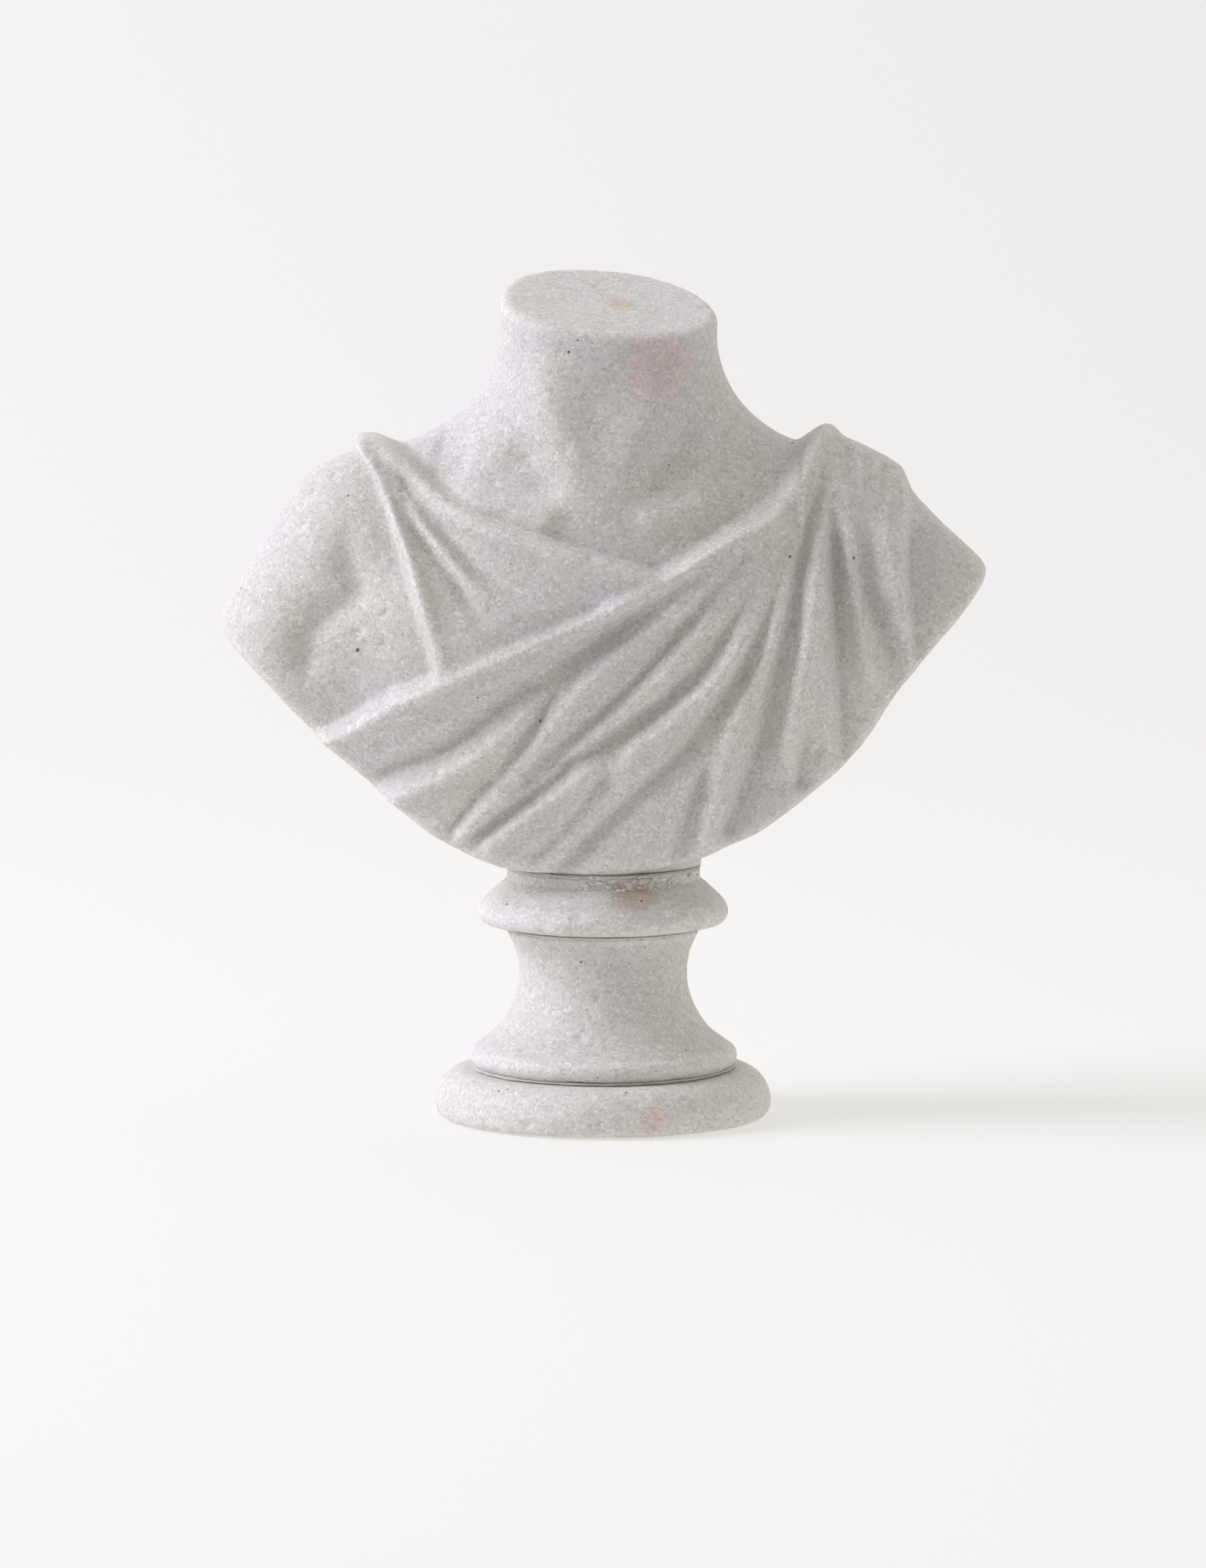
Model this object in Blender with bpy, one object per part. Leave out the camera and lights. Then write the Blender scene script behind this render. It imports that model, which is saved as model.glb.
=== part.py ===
"""Draped marble bust on a turned socle, modelled as its separate stones and fixings.

The bust stands on a collar, a stem and a plinth, each turned from its own block.  A thin bed
of mortar lies in every joint, and one threaded rod, set in resin in the bust, clamps the whole
column with a washer and a nut in a recess under the plinth.  A felt disc covers the recess.

Metres, +Z up.  The origin is the centre of the felt's underside.  The bust faces -Y.
"""

import math

import bmesh
import bpy
import numpy as np

# --- overall sizes -----------------------------------------------------------------------------
BUST_WIDTH = 0.253
BUST_DEPTH = 0.096
BUST_HEIGHT = 0.196

PLINTH_RADIUS = 0.0559
PLINTH_HEIGHT = 0.0155
PLINTH_FOOT_ROUND = 0.0030
PLINTH_FOOT_RISE = 0.0040
PLINTH_SHOULDER = 0.0099
PLINTH_SHOULDER_RISE = 0.0112
STEM_HEIGHT = 0.0459
STEM_FOOT_RADIUS = 0.0447
STEM_TORUS_HALF = 0.0036
STEM_WAIST_RADIUS = 0.0279
STEM_WAIST_SHARE = 0.69
STEM_HEAD_RADIUS = 0.0324
COLLAR_HEIGHT = 0.0191
COLLAR_RADIUS = 0.0416
COLLAR_RING_HALF = 0.0033
COLLAR_RING_RISE = 0.0048
COLLAR_NECK_HEIGHT = 0.0036
COLLAR_LIP = 0.0006
SEAT_RADIUS = 0.0320

# --- joints, rod and fixings -------------------------------------------------------------------
GAP = 0.0003
BED_THICKNESS = 0.0004
BED_SETBACK = 0.0006

ROD_RADIUS = 0.0040
ROD_HOLE_CLEARANCE = 0.00075
ROD_CHAMFER = 0.0006
ROD_IN_BUST = 0.0380
RESIN_WALL = 0.0014
RESIN_OVER_ROD = 0.0030

NUT_ACROSS_FLATS = 0.0130
NUT_HEIGHT = 0.0040
NUT_CHAMFER = 0.0007
WASHER_RADIUS = 0.0080
WASHER_THICKNESS = 0.0016
ROD_BELOW_NUT = 0.0010
RECESS_CLEARANCE = 0.0040

FELT_PROUD = 0.0005
FELT_THICKNESS = 0.0015
FELT_INSET = 0.0045
FELT_RADIUS = PLINTH_RADIUS - PLINTH_FOOT_ROUND - FELT_INSET

TURNED_SEGMENTS = 40
SMALL_SEGMENTS = 24

# --- heights of the stacked pieces -------------------------------------------------------------
JOINT = BED_THICKNESS + 2 * GAP
PLINTH_BOTTOM = FELT_PROUD
PLINTH_TOP = PLINTH_BOTTOM + PLINTH_HEIGHT
STEM_BOTTOM = PLINTH_TOP + JOINT
STEM_TOP = STEM_BOTTOM + STEM_HEIGHT
COLLAR_BOTTOM = STEM_TOP + JOINT
COLLAR_TOP = COLLAR_BOTTOM + COLLAR_HEIGHT
BUST_BOTTOM = COLLAR_TOP + JOINT

ROD_HOLE_RADIUS = ROD_RADIUS + ROD_HOLE_CLEARANCE
ROD_TOP = BUST_BOTTOM + ROD_IN_BUST
FELT_POCKET_TOP = FELT_THICKNESS + GAP
ROD_BOTTOM = FELT_POCKET_TOP + 2 * GAP
NUT_BOTTOM = ROD_BOTTOM + ROD_BELOW_NUT
WASHER_BOTTOM = NUT_BOTTOM + NUT_HEIGHT + GAP
RECESS_TOP = WASHER_BOTTOM + WASHER_THICKNESS + GAP
RECESS_RADIUS = WASHER_RADIUS + RECESS_CLEARANCE
RESIN_RADIUS = ROD_RADIUS + GAP + RESIN_WALL
RESIN_TOP = ROD_TOP + GAP + RESIN_OVER_ROD
BUST_HOLE_RADIUS = RESIN_RADIUS + GAP

# --- the bust's sculpt ------------------------------------------------------------------------
# It is drawn in millimetres above its seat at the drawn size below, then stretched to the sizes
# above, as a sculptor points a maquette up to the block.  +X is the viewer's right.
DRAWN_WIDTH = 254.4
DRAWN_DEPTH = 94.2
DRAWN_HEIGHT = 196.5
SCULPT_CELL = 2.5
SCULPT_TRIANGLES = 9200
SCULPT_LOW = (-140.0, -60.0, -9.0)
SCULPT_HIGH = (140.0, 64.0, 204.0)
STRETCH = (
    BUST_WIDTH / DRAWN_WIDTH,
    BUST_DEPTH / DRAWN_DEPTH,
    BUST_HEIGHT / DRAWN_HEIGHT,
)

# Rounded masses: centre and radii.
MASSES = {
    "rib cage": ((0, 2, 54), (104, 43, 98)),
    "left breast": ((-44, -10, 76), (44, 31, 42)),
    "right breast": ((46, -10, 78), (44, 32, 44)),
    "upper back": ((0, 10, 116), (74, 28, 36)),
}
# Tapered limbs: start, its radius, end, its radius.
LIMBS = {
    "left shoulder": ((-30, 6, 120), 22, (-74, 5, 109.5), 24.5),
    "left upper arm": ((-81.5, 5, 106.5), 27, (-99.5, 2, 73), 28.5),
    "right shoulder": ((30, 6, 118), 22, (74, 5, 109.5), 24.5),
    "right upper arm": ((80, 5, 110.5), 24, (104, 4, 86.5), 24.5),
    "right arm below": ((100, 4, 86), 25, (104, 4, 66), 26),
}
NECK_MUSCLES = {
    "left": ((-19, -11, 190), 11, (-7, -27, 124), 6),
    "right": ((22, -7, 190), 11, (2, -28, 122), 6),
}
NECK_CENTRE = (1.1, 1.5)
NECK_HALF_WIDTH = 34.0
NECK_HALF_DEPTH = 33.0
NECK_FLARE = 0.035
NECK_ROOT = 105.0
MASS_BLEND = 14.0
LIMB_BLEND = 16.0
NECK_BLEND = 28.0
MUSCLE_BLEND = 12.0

# The slope of the cut through the neck, and its height over the neck's axis.
NECK_CUT_HEIGHT = 187.6
NECK_CUT_SLOPE_X = -0.10
NECK_CUT_SLOPE_Y = 0.28
NECK_CUT_ROUND = 4.0
# The lower edge of the shield: height for each X.
LOWER_EDGE = (
    (-132, 96), (-126.5, 79), (-112, 63), (-95, 45), (-66, 20), (-51, 9.6), (-33, 2.4), (-16, 1.0),
    (2, 0.8), (18, 2.6), (31, 5.6), (40, 9.4), (50, 14), (65, 25), (83, 40), (95, 58), (107, 73),
    (119, 87), (127, 98), (132, 104),
)
LOWER_EDGE_ROUND = 4.0
SEAT_PAD_HEIGHT = 14.0
SEAT_PAD_BLEND = 4.0

# Drapery lines, as points (X, Z).  The cloak's hem runs alike on both sides.
CLOAK_HEM = (
    (132, 210), (90, 175), (66, 145), (50, 122), (30, 110.6), (10, 98.4), (-10, 88.5),
    (-30, 79.4), (-60, 66.4), (-80, 56.3), (-110, 40), (-132, 30),
)
FRONT_NECKLINE = ((-90, 160), (-74, 146), (-57.5, 130.5), (-40, 119.3), (-8.4, 108.6), (40, 94))
BACK_NECKLINE = ((-90, 162), (-74, 144), (-50, 130), (-10, 122), (40, 118), (80, 118))
# Valleys between folds: points, half width, depth.
FRONT_VALLEYS = (
    (((50, 114.5), (25, 96.5), (0, 78.5), (-30, 60), (-60, 40), (-80, 28)), 4.6, 3.2),
    (((-4, 74), (-19, 58), (-33, 35), (-54, 10)), 3.6, 2.6),
    (((52, 110), (36, 95), (10, 64.5), (-10, 47), (-36, 19)), 3.8, 2.8),
    (((56, 108), (42, 85), (20, 59), (-15, 33.4), (-52, 6)), 3.8, 3.2),
    (((62.5, 116), (54, 88), (30, 47), (0, 17.6), (-13, 3)), 3.8, 3.2),
    (((36, 46), (30, 28), (23, 6)), 3.6, 2.6),
    (((73, 136), (63.6, 98.4), (56, 63), (41, 16)), 4.0, 3.8),
    (((74.3, 130), (75.8, 95.4), (79.5, 40)), 4.0, 3.8),
)
BACK_VALLEYS = (
    (((54, 116), (14, 88), (-30, 66), (-80, 46)), 5.0, 3.0),
    (((60, 112), (26, 78), (-16, 50), (-62, 26)), 4.4, 3.2),
    (((64, 110), (38, 70), (2, 36), (-36, 12)), 4.4, 3.2),
    (((70, 112), (52, 66), (26, 30), (4, 6)), 4.4, 3.2),
    (((77, 114), (68, 72), (54, 36), (42, 14)), 4.0, 3.0),
    (((84, 116), (84, 84), (80, 56), (74, 34)), 3.6, 2.6),
)
# The folds are gathered on the shoulder here, and grow deeper away from it.
GATHER = (72.0, 138.0)
GATHER_REACH = 70.0
CLOAK_THICKNESS = 2.6
TUNIC_THICKNESS = 1.4
HEM_SOFTNESS = 3.2
SLEEVE_EDGE_X = 101.0
RELIEF_STEP = 1.0
RELIEF_LOW = (-140.0, -12.0)
RELIEF_HIGH = (140.0, 208.0)
FRONT_TO_BACK = 8.0


# --- materials ---------------------------------------------------------------------------------
def material(name, colour, roughness, metallic=0.0):
    """A Principled material with a plain colour."""
    made = bpy.data.materials.new(name)
    made.use_nodes = True
    shader = made.node_tree.nodes["Principled BSDF"]
    shader.inputs["Base Color"].default_value = (*colour, 1.0)
    shader.inputs["Roughness"].default_value = roughness
    shader.inputs["Metallic"].default_value = metallic
    made.diffuse_color = (*colour, 1.0)
    return made


# --- small helpers -----------------------------------------------------------------------------
def add_object(name, mesh, finish):
    """Puts a mesh into the scene as one named sub-part."""
    mesh.materials.append(finish)
    made = bpy.data.objects.new(name, mesh)
    bpy.context.scene.collection.objects.link(made)
    return made


def smooth_shaded(mesh, angle=math.radians(40)):
    """Shades a round piece smooth, with its hard edges left sharp."""
    mesh.shade_smooth()
    mesh.set_sharp_from_angle(angle=angle)


def curve_through(points, per_span):
    """Samples of a smooth Catmull-Rom curve through the points."""
    knots = np.array(points, float)
    knots = np.vstack([2 * knots[0] - knots[1], knots, 2 * knots[-1] - knots[-2]])
    t = np.linspace(0, 1, per_span, endpoint=False)[:, None]
    spans = []
    for a, b, c, d in zip(knots, knots[1:], knots[2:], knots[3:]):
        spans.append(
            0.5 * (2 * b + (c - a) * t + (2 * a - 5 * b + 4 * c - d) * t**2
                   + (3 * b - a - 3 * c + d) * t**3)
        )
    return np.vstack(spans + [knots[-2][None]])


def arc(centre, radii, start, end, steps):
    """Points (radius, height) of an elliptical arc, with its angles in degrees."""
    turn = np.radians(np.linspace(start, end, steps))
    return [
        (centre[0] + radii[0] * math.cos(a), centre[1] + radii[1] * math.sin(a)) for a in turn
    ]


def turned(name, profile, finish, segments=TURNED_SEGMENTS):
    """Turns a closed outline of (radius, height) points about the Z axis into a solid."""
    shape = bmesh.new()
    ring = [shape.verts.new((radius, 0.0, height)) for radius, height in profile]
    on_axis = [v for v in ring if v.co.x == 0.0]
    edges = [
        shape.edges.new(pair)
        for pair in zip(ring, ring[1:] + ring[:1])
        if not (pair[0] in on_axis and pair[1] in on_axis)
    ]
    bmesh.ops.spin(
        shape, geom=ring + edges, cent=(0, 0, 0), axis=(0, 0, 1),
        angle=2 * math.pi, steps=segments, use_merge=True,
    )
    bmesh.ops.remove_doubles(shape, verts=shape.verts, dist=1e-6)
    bmesh.ops.recalc_face_normals(shape, faces=shape.faces)
    mesh = bpy.data.meshes.new(name)
    shape.to_mesh(mesh)
    shape.free()
    smooth_shaded(mesh)
    return add_object(name, mesh, finish)


def cut_away(target, cutter):
    """Cuts one object out of another, and keeps the cutter as a hidden helper."""
    cutter.hide_render = True
    cutter.display_type = "WIRE"
    boolean = target.modifiers.new(f"cut {cutter.name}", "BOOLEAN")
    boolean.operation = "DIFFERENCE"
    boolean.solver = "EXACT"
    boolean.object = cutter


# --- the sculpt as a field: negative inside the stone ------------------------------------------
def blend_in(first, second, width):
    """Union of two fields with a soft fillet of the given width."""
    near = np.maximum(width - np.abs(first - second), 0.0) / width
    return np.minimum(first, second) - near * near * width / 4


def blend_cut(first, second, width):
    """Common part of two fields, with its edge rounded over the given width."""
    return -blend_in(-first, -second, width)


def ramp(value):
    """Smooth step from 0 to 1."""
    value = np.clip(value, 0.0, 1.0)
    return value * value * (3 - 2 * value)


def ellipsoid_field(x, y, z, centre, radii):
    """Near distance to an ellipsoid's surface."""
    offsets = [(p - c) / r for p, c, r in zip((x, y, z), centre, radii)]
    scaled = np.sqrt(sum(o * o for o in offsets))
    slope = np.sqrt(sum((o / r) ** 2 for o, r in zip(offsets, radii)))
    return scaled * (scaled - 1) / np.maximum(slope, 1e-6)


def limb_field(x, y, z, start, start_radius, end, end_radius):
    """Distance to a tapered limb with round ends."""
    start, end = np.array(start, float), np.array(end, float)
    along = end - start
    px, py, pz = x - start[0], y - start[1], z - start[2]
    t = np.clip((px * along[0] + py * along[1] + pz * along[2]) / (along @ along), 0, 1)
    away = np.sqrt((px - t * along[0]) ** 2 + (py - t * along[1]) ** 2 + (pz - t * along[2]) ** 2)
    return away - (start_radius + (end_radius - start_radius) * t)


def neck_field(x, y, z):
    """Elliptical neck that widens a little towards the shoulders."""
    widening = NECK_FLARE * np.maximum(NECK_CUT_HEIGHT - z, 0)
    half_width = NECK_HALF_WIDTH + widening
    half_depth = NECK_HALF_DEPTH + widening
    across = np.sqrt(
        ((x - NECK_CENTRE[0]) / half_width) ** 2 + ((y - NECK_CENTRE[1]) / half_depth) ** 2
    )
    return np.maximum((across - 1) * half_depth, NECK_ROOT - z)


def body_field(x, y, z):
    """The undraped torso with its shoulders and neck."""
    field = None
    for centre, radii in MASSES.values():
        mass = ellipsoid_field(x, y, z, centre, radii)
        field = mass if field is None else blend_in(field, mass, MASS_BLEND)
    for limb in LIMBS.values():
        field = blend_in(field, limb_field(x, y, z, *limb), LIMB_BLEND)
    field = blend_in(field, neck_field(x, y, z), NECK_BLEND)
    for muscle in NECK_MUSCLES.values():
        field = blend_in(field, limb_field(x, y, z, *muscle), MUSCLE_BLEND)
    return field


def distance_to(points, x, z):
    """Distance from each (x, z) to a smooth curve through the points."""
    samples = curve_through(points, per_span=6)
    nearest = np.full(x.shape, np.inf)
    for (ax, az), (bx, bz) in zip(samples, samples[1:]):
        dx, dz = bx - ax, bz - az
        t = np.clip(((x - ax) * dx + (z - az) * dz) / (dx * dx + dz * dz), 0, 1)
        nearest = np.minimum(nearest, (x - ax - t * dx) ** 2 + (z - az - t * dz) ** 2)
    return np.sqrt(nearest)


def height_above(points, x, z):
    """Distance to a curve that runs across the chest, positive above it."""
    samples = curve_through(points, per_span=8)
    samples = samples[np.argsort(samples[:, 0])]
    line = np.interp(x, samples[:, 0], samples[:, 1])
    slope = np.interp(x, samples[:, 0], np.gradient(samples[:, 1], samples[:, 0]))
    return (z - line) / np.sqrt(1 + slope * slope)


def drapery_relief(valley_lines, neckline):
    """Depth carved into one side at each (X, Z) of a grid; cloth stands proud and is negative."""
    x, z = np.meshgrid(
        np.arange(RELIEF_LOW[0], RELIEF_HIGH[0], RELIEF_STEP),
        np.arange(RELIEF_LOW[1], RELIEF_HIGH[1], RELIEF_STEP),
        indexing="ij",
    )
    cloak = ramp(0.5 - height_above(CLOAK_HEM, x, z) / HEM_SOFTNESS)
    cloak *= ramp(0.5 + (SLEEVE_EDGE_X - x) / HEM_SOFTNESS)
    tunic = ramp(0.5 - height_above(neckline, x, z) / HEM_SOFTNESS) * (1 - cloak)
    valleys = np.zeros_like(x)
    for points, half_width, depth in valley_lines:
        across = distance_to(points, x, z) / half_width
        valleys = np.maximum(valleys, depth / (1 + across**2) ** 1.6)
    valleys *= ramp(np.hypot(x - GATHER[0], z - GATHER[1]) / GATHER_REACH)
    return cloak * (valleys - CLOAK_THICKNESS) - tunic * TUNIC_THICKNESS


def read_relief(table, x, z):
    """The relief between its grid points."""
    across = np.clip((x - RELIEF_LOW[0]) / RELIEF_STEP, 0, table.shape[0] - 1.001)
    up = np.clip((z - RELIEF_LOW[1]) / RELIEF_STEP, 0, table.shape[1] - 1.001)
    i, j = across.astype(int), up.astype(int)
    u, v = across - i, up - j
    low = table[i, j] * (1 - u) + table[i + 1, j] * u
    high = table[i, j + 1] * (1 - u) + table[i + 1, j + 1] * u
    return low * (1 - v) + high * v


def bust_field():
    """The whole bust as a function of millimetre coordinates above its seat."""
    front = drapery_relief(FRONT_VALLEYS, FRONT_NECKLINE)
    back = drapery_relief(BACK_VALLEYS, BACK_NECKLINE)
    pad_radii = (SEAT_RADIUS / STRETCH[0], SEAT_RADIUS / STRETCH[1])

    def field(x, y, z):
        stone = body_field(x, y, z)
        facing_front = ramp(0.5 - y / (2 * FRONT_TO_BACK))
        stone = stone + read_relief(front, x, z) * facing_front
        stone = stone + read_relief(back, x, z) * (1 - facing_front)
        stone = blend_cut(stone, -height_above(LOWER_EDGE, x, z), LOWER_EDGE_ROUND)
        across = np.hypot(x / pad_radii[0], y / pad_radii[1])
        pad = np.maximum((across - 1) * min(pad_radii), z - SEAT_PAD_HEIGHT)
        stone = blend_in(stone, pad, SEAT_PAD_BLEND)
        slope = math.sqrt(1 + NECK_CUT_SLOPE_X**2 + NECK_CUT_SLOPE_Y**2)
        cut = (z - NECK_CUT_HEIGHT - NECK_CUT_SLOPE_X * x - NECK_CUT_SLOPE_Y * y) / slope
        stone = blend_cut(stone, cut, NECK_CUT_ROUND)
        return np.maximum(stone, SCULPT_LOW[2] / 2 - z)

    return field


def without_pinches(inside):
    """Fills grid corners until no square of the grid has stone at two opposite corners only."""
    windows = (slice(None, -1), slice(1, None))
    while True:
        filled = inside.copy()
        for first, second in ((0, 1), (0, 2), (1, 2)):
            square = []
            for a, b in ((0, 0), (1, 1), (0, 1), (1, 0)):
                place = [slice(None)] * 3
                place[first], place[second] = windows[a], windows[b]
                square.append(tuple(place))
            p, q, r, s = (inside[place] for place in square)
            pinched = (p == q) & (r == s) & (p != r)
            for place in square:
                filled[place] |= pinched
        if (filled == inside).all():
            return inside
        inside = filled


def net_over(field, low, high, cell):
    """Quads over the field's zero surface: one point in each cell that the surface crosses."""
    axes = [np.arange(a, b, cell) for a, b in zip(low, high)]
    values = field(*np.meshgrid(*axes, indexing="ij"))
    inside = without_pinches(values < 0)
    values = np.where(inside, -np.abs(values), np.abs(values))
    corners = [
        (slice(i, i - 1 or None), slice(j, j - 1 or None), slice(k, k - 1 or None))
        for i in (0, 1) for j in (0, 1) for k in (0, 1)
    ]
    count = sum(inside[c].astype(int) for c in corners)
    crossed = (count > 0) & (count < len(corners))
    index = np.full(crossed.shape, -1)
    index[crossed] = np.arange(crossed.sum())
    cells = np.argwhere(crossed)

    total = np.zeros((len(cells), 3))
    hits = np.zeros(len(cells))
    for axis in range(3):
        others = [a for a in range(3) if a != axis]
        for first in (0, 1):
            for second in (0, 1):
                start = cells.copy()
                start[:, others[0]] += first
                start[:, others[1]] += second
                end = start.copy()
                end[:, axis] += 1
                a, b = values[tuple(start.T)], values[tuple(end.T)]
                cut = np.signbit(a) != np.signbit(b)
                point = start.astype(float)
                point[cut, axis] += a[cut] / (a[cut] - b[cut])
                total[cut] += point[cut]
                hits += cut
    points = total / hits[:, None] * cell + np.array(low)

    quads = []
    for axis in range(3):
        before = [slice(None)] * 3
        after = [slice(None)] * 3
        before[axis], after[axis] = slice(None, -1), slice(1, None)
        a, b = inside[tuple(before)], inside[tuple(after)]
        edges = np.argwhere(a != b)
        leaving = a[tuple(edges.T)]
        first, second = [c for c in range(3) if c != axis]
        around = []
        for step in ((0, 0), (1, 0), (1, 1), (0, 1)):
            place = edges.copy()
            place[:, first] -= step[0]
            place[:, second] -= step[1]
            around.append(index[tuple(place.T)])
        faces = np.stack(around, axis=1)
        flip = leaving if axis == 1 else ~leaving
        faces[flip] = faces[flip][:, ::-1]
        quads.append(faces)
    return points, np.vstack(quads)


# --- the pieces --------------------------------------------------------------------------------
def make_bust(finish):
    """The draped bust, with a flat seat and a blind hole for the rod."""
    field = bust_field()
    points, quads = net_over(field, SCULPT_LOW, SCULPT_HIGH, SCULPT_CELL)
    points = points * np.array(STRETCH)
    points[:, 2] += BUST_BOTTOM
    mesh = bpy.data.meshes.new("bust")
    mesh.from_pydata(points.tolist(), [], quads.tolist())

    shape = bmesh.new()
    shape.from_mesh(mesh)
    seat = bmesh.ops.bisect_plane(
        shape, geom=shape.verts[:] + shape.edges[:] + shape.faces[:], dist=1e-6,
        plane_co=(0, 0, BUST_BOTTOM), plane_no=(0, 0, -1), clear_outer=True,
    )
    rim = [e for e in seat["geom_cut"] if isinstance(e, bmesh.types.BMEdge)]
    bmesh.ops.contextual_create(shape, geom=rim)
    bmesh.ops.triangulate(shape, faces=shape.faces)
    bmesh.ops.recalc_face_normals(shape, faces=shape.faces)
    fine_triangles = len(shape.faces)
    shape.to_mesh(mesh)
    shape.free()
    smooth_shaded(mesh, math.radians(60))
    bust = add_object("bust", mesh, finish)
    thin_out = bust.modifiers.new("thin out", "DECIMATE")
    thin_out.ratio = SCULPT_TRIANGLES / fine_triangles

    hole_top = RESIN_TOP + GAP
    below = BUST_BOTTOM - JOINT
    hole = [(0, hole_top), (BUST_HOLE_RADIUS, hole_top), (BUST_HOLE_RADIUS, below), (0, below)]
    cut_away(bust, turned("rod hole", hole, finish, SMALL_SEGMENTS))
    return bust


def make_plinth(finish):
    """The round plinth, with its felt pocket and the recess for the nut."""
    pocket = FELT_RADIUS + GAP
    outside = arc(
        (PLINTH_RADIUS - PLINTH_FOOT_ROUND, PLINTH_BOTTOM + PLINTH_FOOT_RISE),
        (PLINTH_FOOT_ROUND, PLINTH_FOOT_RISE), -90, 0, 5,
    )[:-1] + arc(
        (PLINTH_RADIUS - PLINTH_SHOULDER, PLINTH_TOP - PLINTH_SHOULDER_RISE),
        (PLINTH_SHOULDER, PLINTH_SHOULDER_RISE), 0, 90, 9,
    )
    inside = [
        (ROD_HOLE_RADIUS, PLINTH_TOP), (ROD_HOLE_RADIUS, RECESS_TOP),
        (RECESS_RADIUS, RECESS_TOP), (RECESS_RADIUS, FELT_POCKET_TOP),
        (pocket, FELT_POCKET_TOP), (pocket, PLINTH_BOTTOM),
    ]
    return turned("plinth", outside + inside, finish)


def make_stem(finish):
    """The waisted stem: a torus at its foot, then one hollow sweep up to its head."""
    half = STEM_TORUS_HALF
    torus = arc((STEM_FOOT_RADIUS - half, STEM_BOTTOM + 0.9 * half), (half, half), -60, 58, 8)
    start_r, start_z = torus[-1][0] - 0.30 * half, torus[-1][1] + 0.22 * half
    waist_z = STEM_BOTTOM + STEM_WAIST_SHARE * STEM_HEIGHT
    spread, drop = start_r - STEM_WAIST_RADIUS, waist_z - start_z
    head, rise = STEM_HEAD_RADIUS - STEM_WAIST_RADIUS, STEM_TOP - waist_z
    sweep = curve_through(
        [
            (start_r, start_z),
            (STEM_WAIST_RADIUS + 0.56 * spread, start_z + 0.21 * drop),
            (STEM_WAIST_RADIUS + 0.23 * spread, start_z + 0.48 * drop),
            (STEM_WAIST_RADIUS + 0.04 * spread, start_z + 0.75 * drop),
            (STEM_WAIST_RADIUS, waist_z),
            (STEM_WAIST_RADIUS + 0.20 * head, waist_z + 0.42 * rise),
            (STEM_WAIST_RADIUS + 0.60 * head, waist_z + 0.74 * rise),
            (STEM_HEAD_RADIUS, STEM_TOP),
        ],
        per_span=2,
    ).tolist()
    inside = [(ROD_HOLE_RADIUS, STEM_TOP), (ROD_HOLE_RADIUS, STEM_BOTTOM)]
    return turned("stem", torus + sweep + inside, finish)


def make_collar(finish):
    """The ring that carries the bust: round underneath, with a long shoulder up to the seat."""
    centre = (COLLAR_RADIUS - COLLAR_RING_HALF, COLLAR_BOTTOM + COLLAR_RING_RISE)
    lip = [(STEM_HEAD_RADIUS + COLLAR_LIP, COLLAR_BOTTOM)]
    ring = arc(centre, (COLLAR_RING_HALF, 1.18 * COLLAR_RING_HALF), -75, 20, 7)
    reach = ring[-1][0] - SEAT_RADIUS
    climb = COLLAR_TOP - COLLAR_NECK_HEIGHT - ring[-1][1]
    shoulder = curve_through(
        [
            ring[-1],
            (SEAT_RADIUS + 0.86 * reach, ring[-1][1] + 0.25 * climb),
            (SEAT_RADIUS + 0.60 * reach, ring[-1][1] + 0.50 * climb),
            (SEAT_RADIUS + 0.26 * reach, ring[-1][1] + 0.80 * climb),
            (SEAT_RADIUS, ring[-1][1] + climb),
        ],
        per_span=2,
    ).tolist()[1:]
    top = [(SEAT_RADIUS, COLLAR_TOP), (ROD_HOLE_RADIUS, COLLAR_TOP)]
    return turned("collar", lip + ring + shoulder + top + [(ROD_HOLE_RADIUS, COLLAR_BOTTOM)],
                  finish)


def make_bed(name, bottom, radius, finish):
    """A thin ring of mortar in one joint."""
    low, high = bottom + GAP, bottom + GAP + BED_THICKNESS
    outer = radius - BED_SETBACK
    ring = [(outer, low), (outer, high), (ROD_HOLE_RADIUS, high), (ROD_HOLE_RADIUS, low)]
    return turned(name, ring, finish)


def make_rod(finish):
    """The threaded rod's solid, at its outside diameter."""
    inner = ROD_RADIUS - ROD_CHAMFER
    profile = [
        (0, ROD_BOTTOM), (inner, ROD_BOTTOM), (ROD_RADIUS, ROD_BOTTOM + ROD_CHAMFER),
        (ROD_RADIUS, ROD_TOP - ROD_CHAMFER), (inner, ROD_TOP), (0, ROD_TOP),
    ]
    return turned("tie_rod", profile, finish, SMALL_SEGMENTS)


def make_resin(finish):
    """The resin cup that holds the rod's upper end in the bust."""
    bore = ROD_RADIUS + GAP
    profile = [
        (bore, BUST_BOTTOM), (RESIN_RADIUS, BUST_BOTTOM), (RESIN_RADIUS, RESIN_TOP),
        (0, RESIN_TOP), (0, ROD_TOP + GAP), (bore, ROD_TOP + GAP),
    ]
    return turned("rod_resin", profile, finish, SMALL_SEGMENTS)


def make_washer(finish):
    """The flat washer between the nut and the plinth."""
    bore, low, high = ROD_RADIUS + GAP, WASHER_BOTTOM, WASHER_BOTTOM + WASHER_THICKNESS
    profile = [(WASHER_RADIUS, low), (WASHER_RADIUS, high), (bore, high), (bore, low)]
    return turned("washer", profile, finish, SMALL_SEGMENTS)


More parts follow.
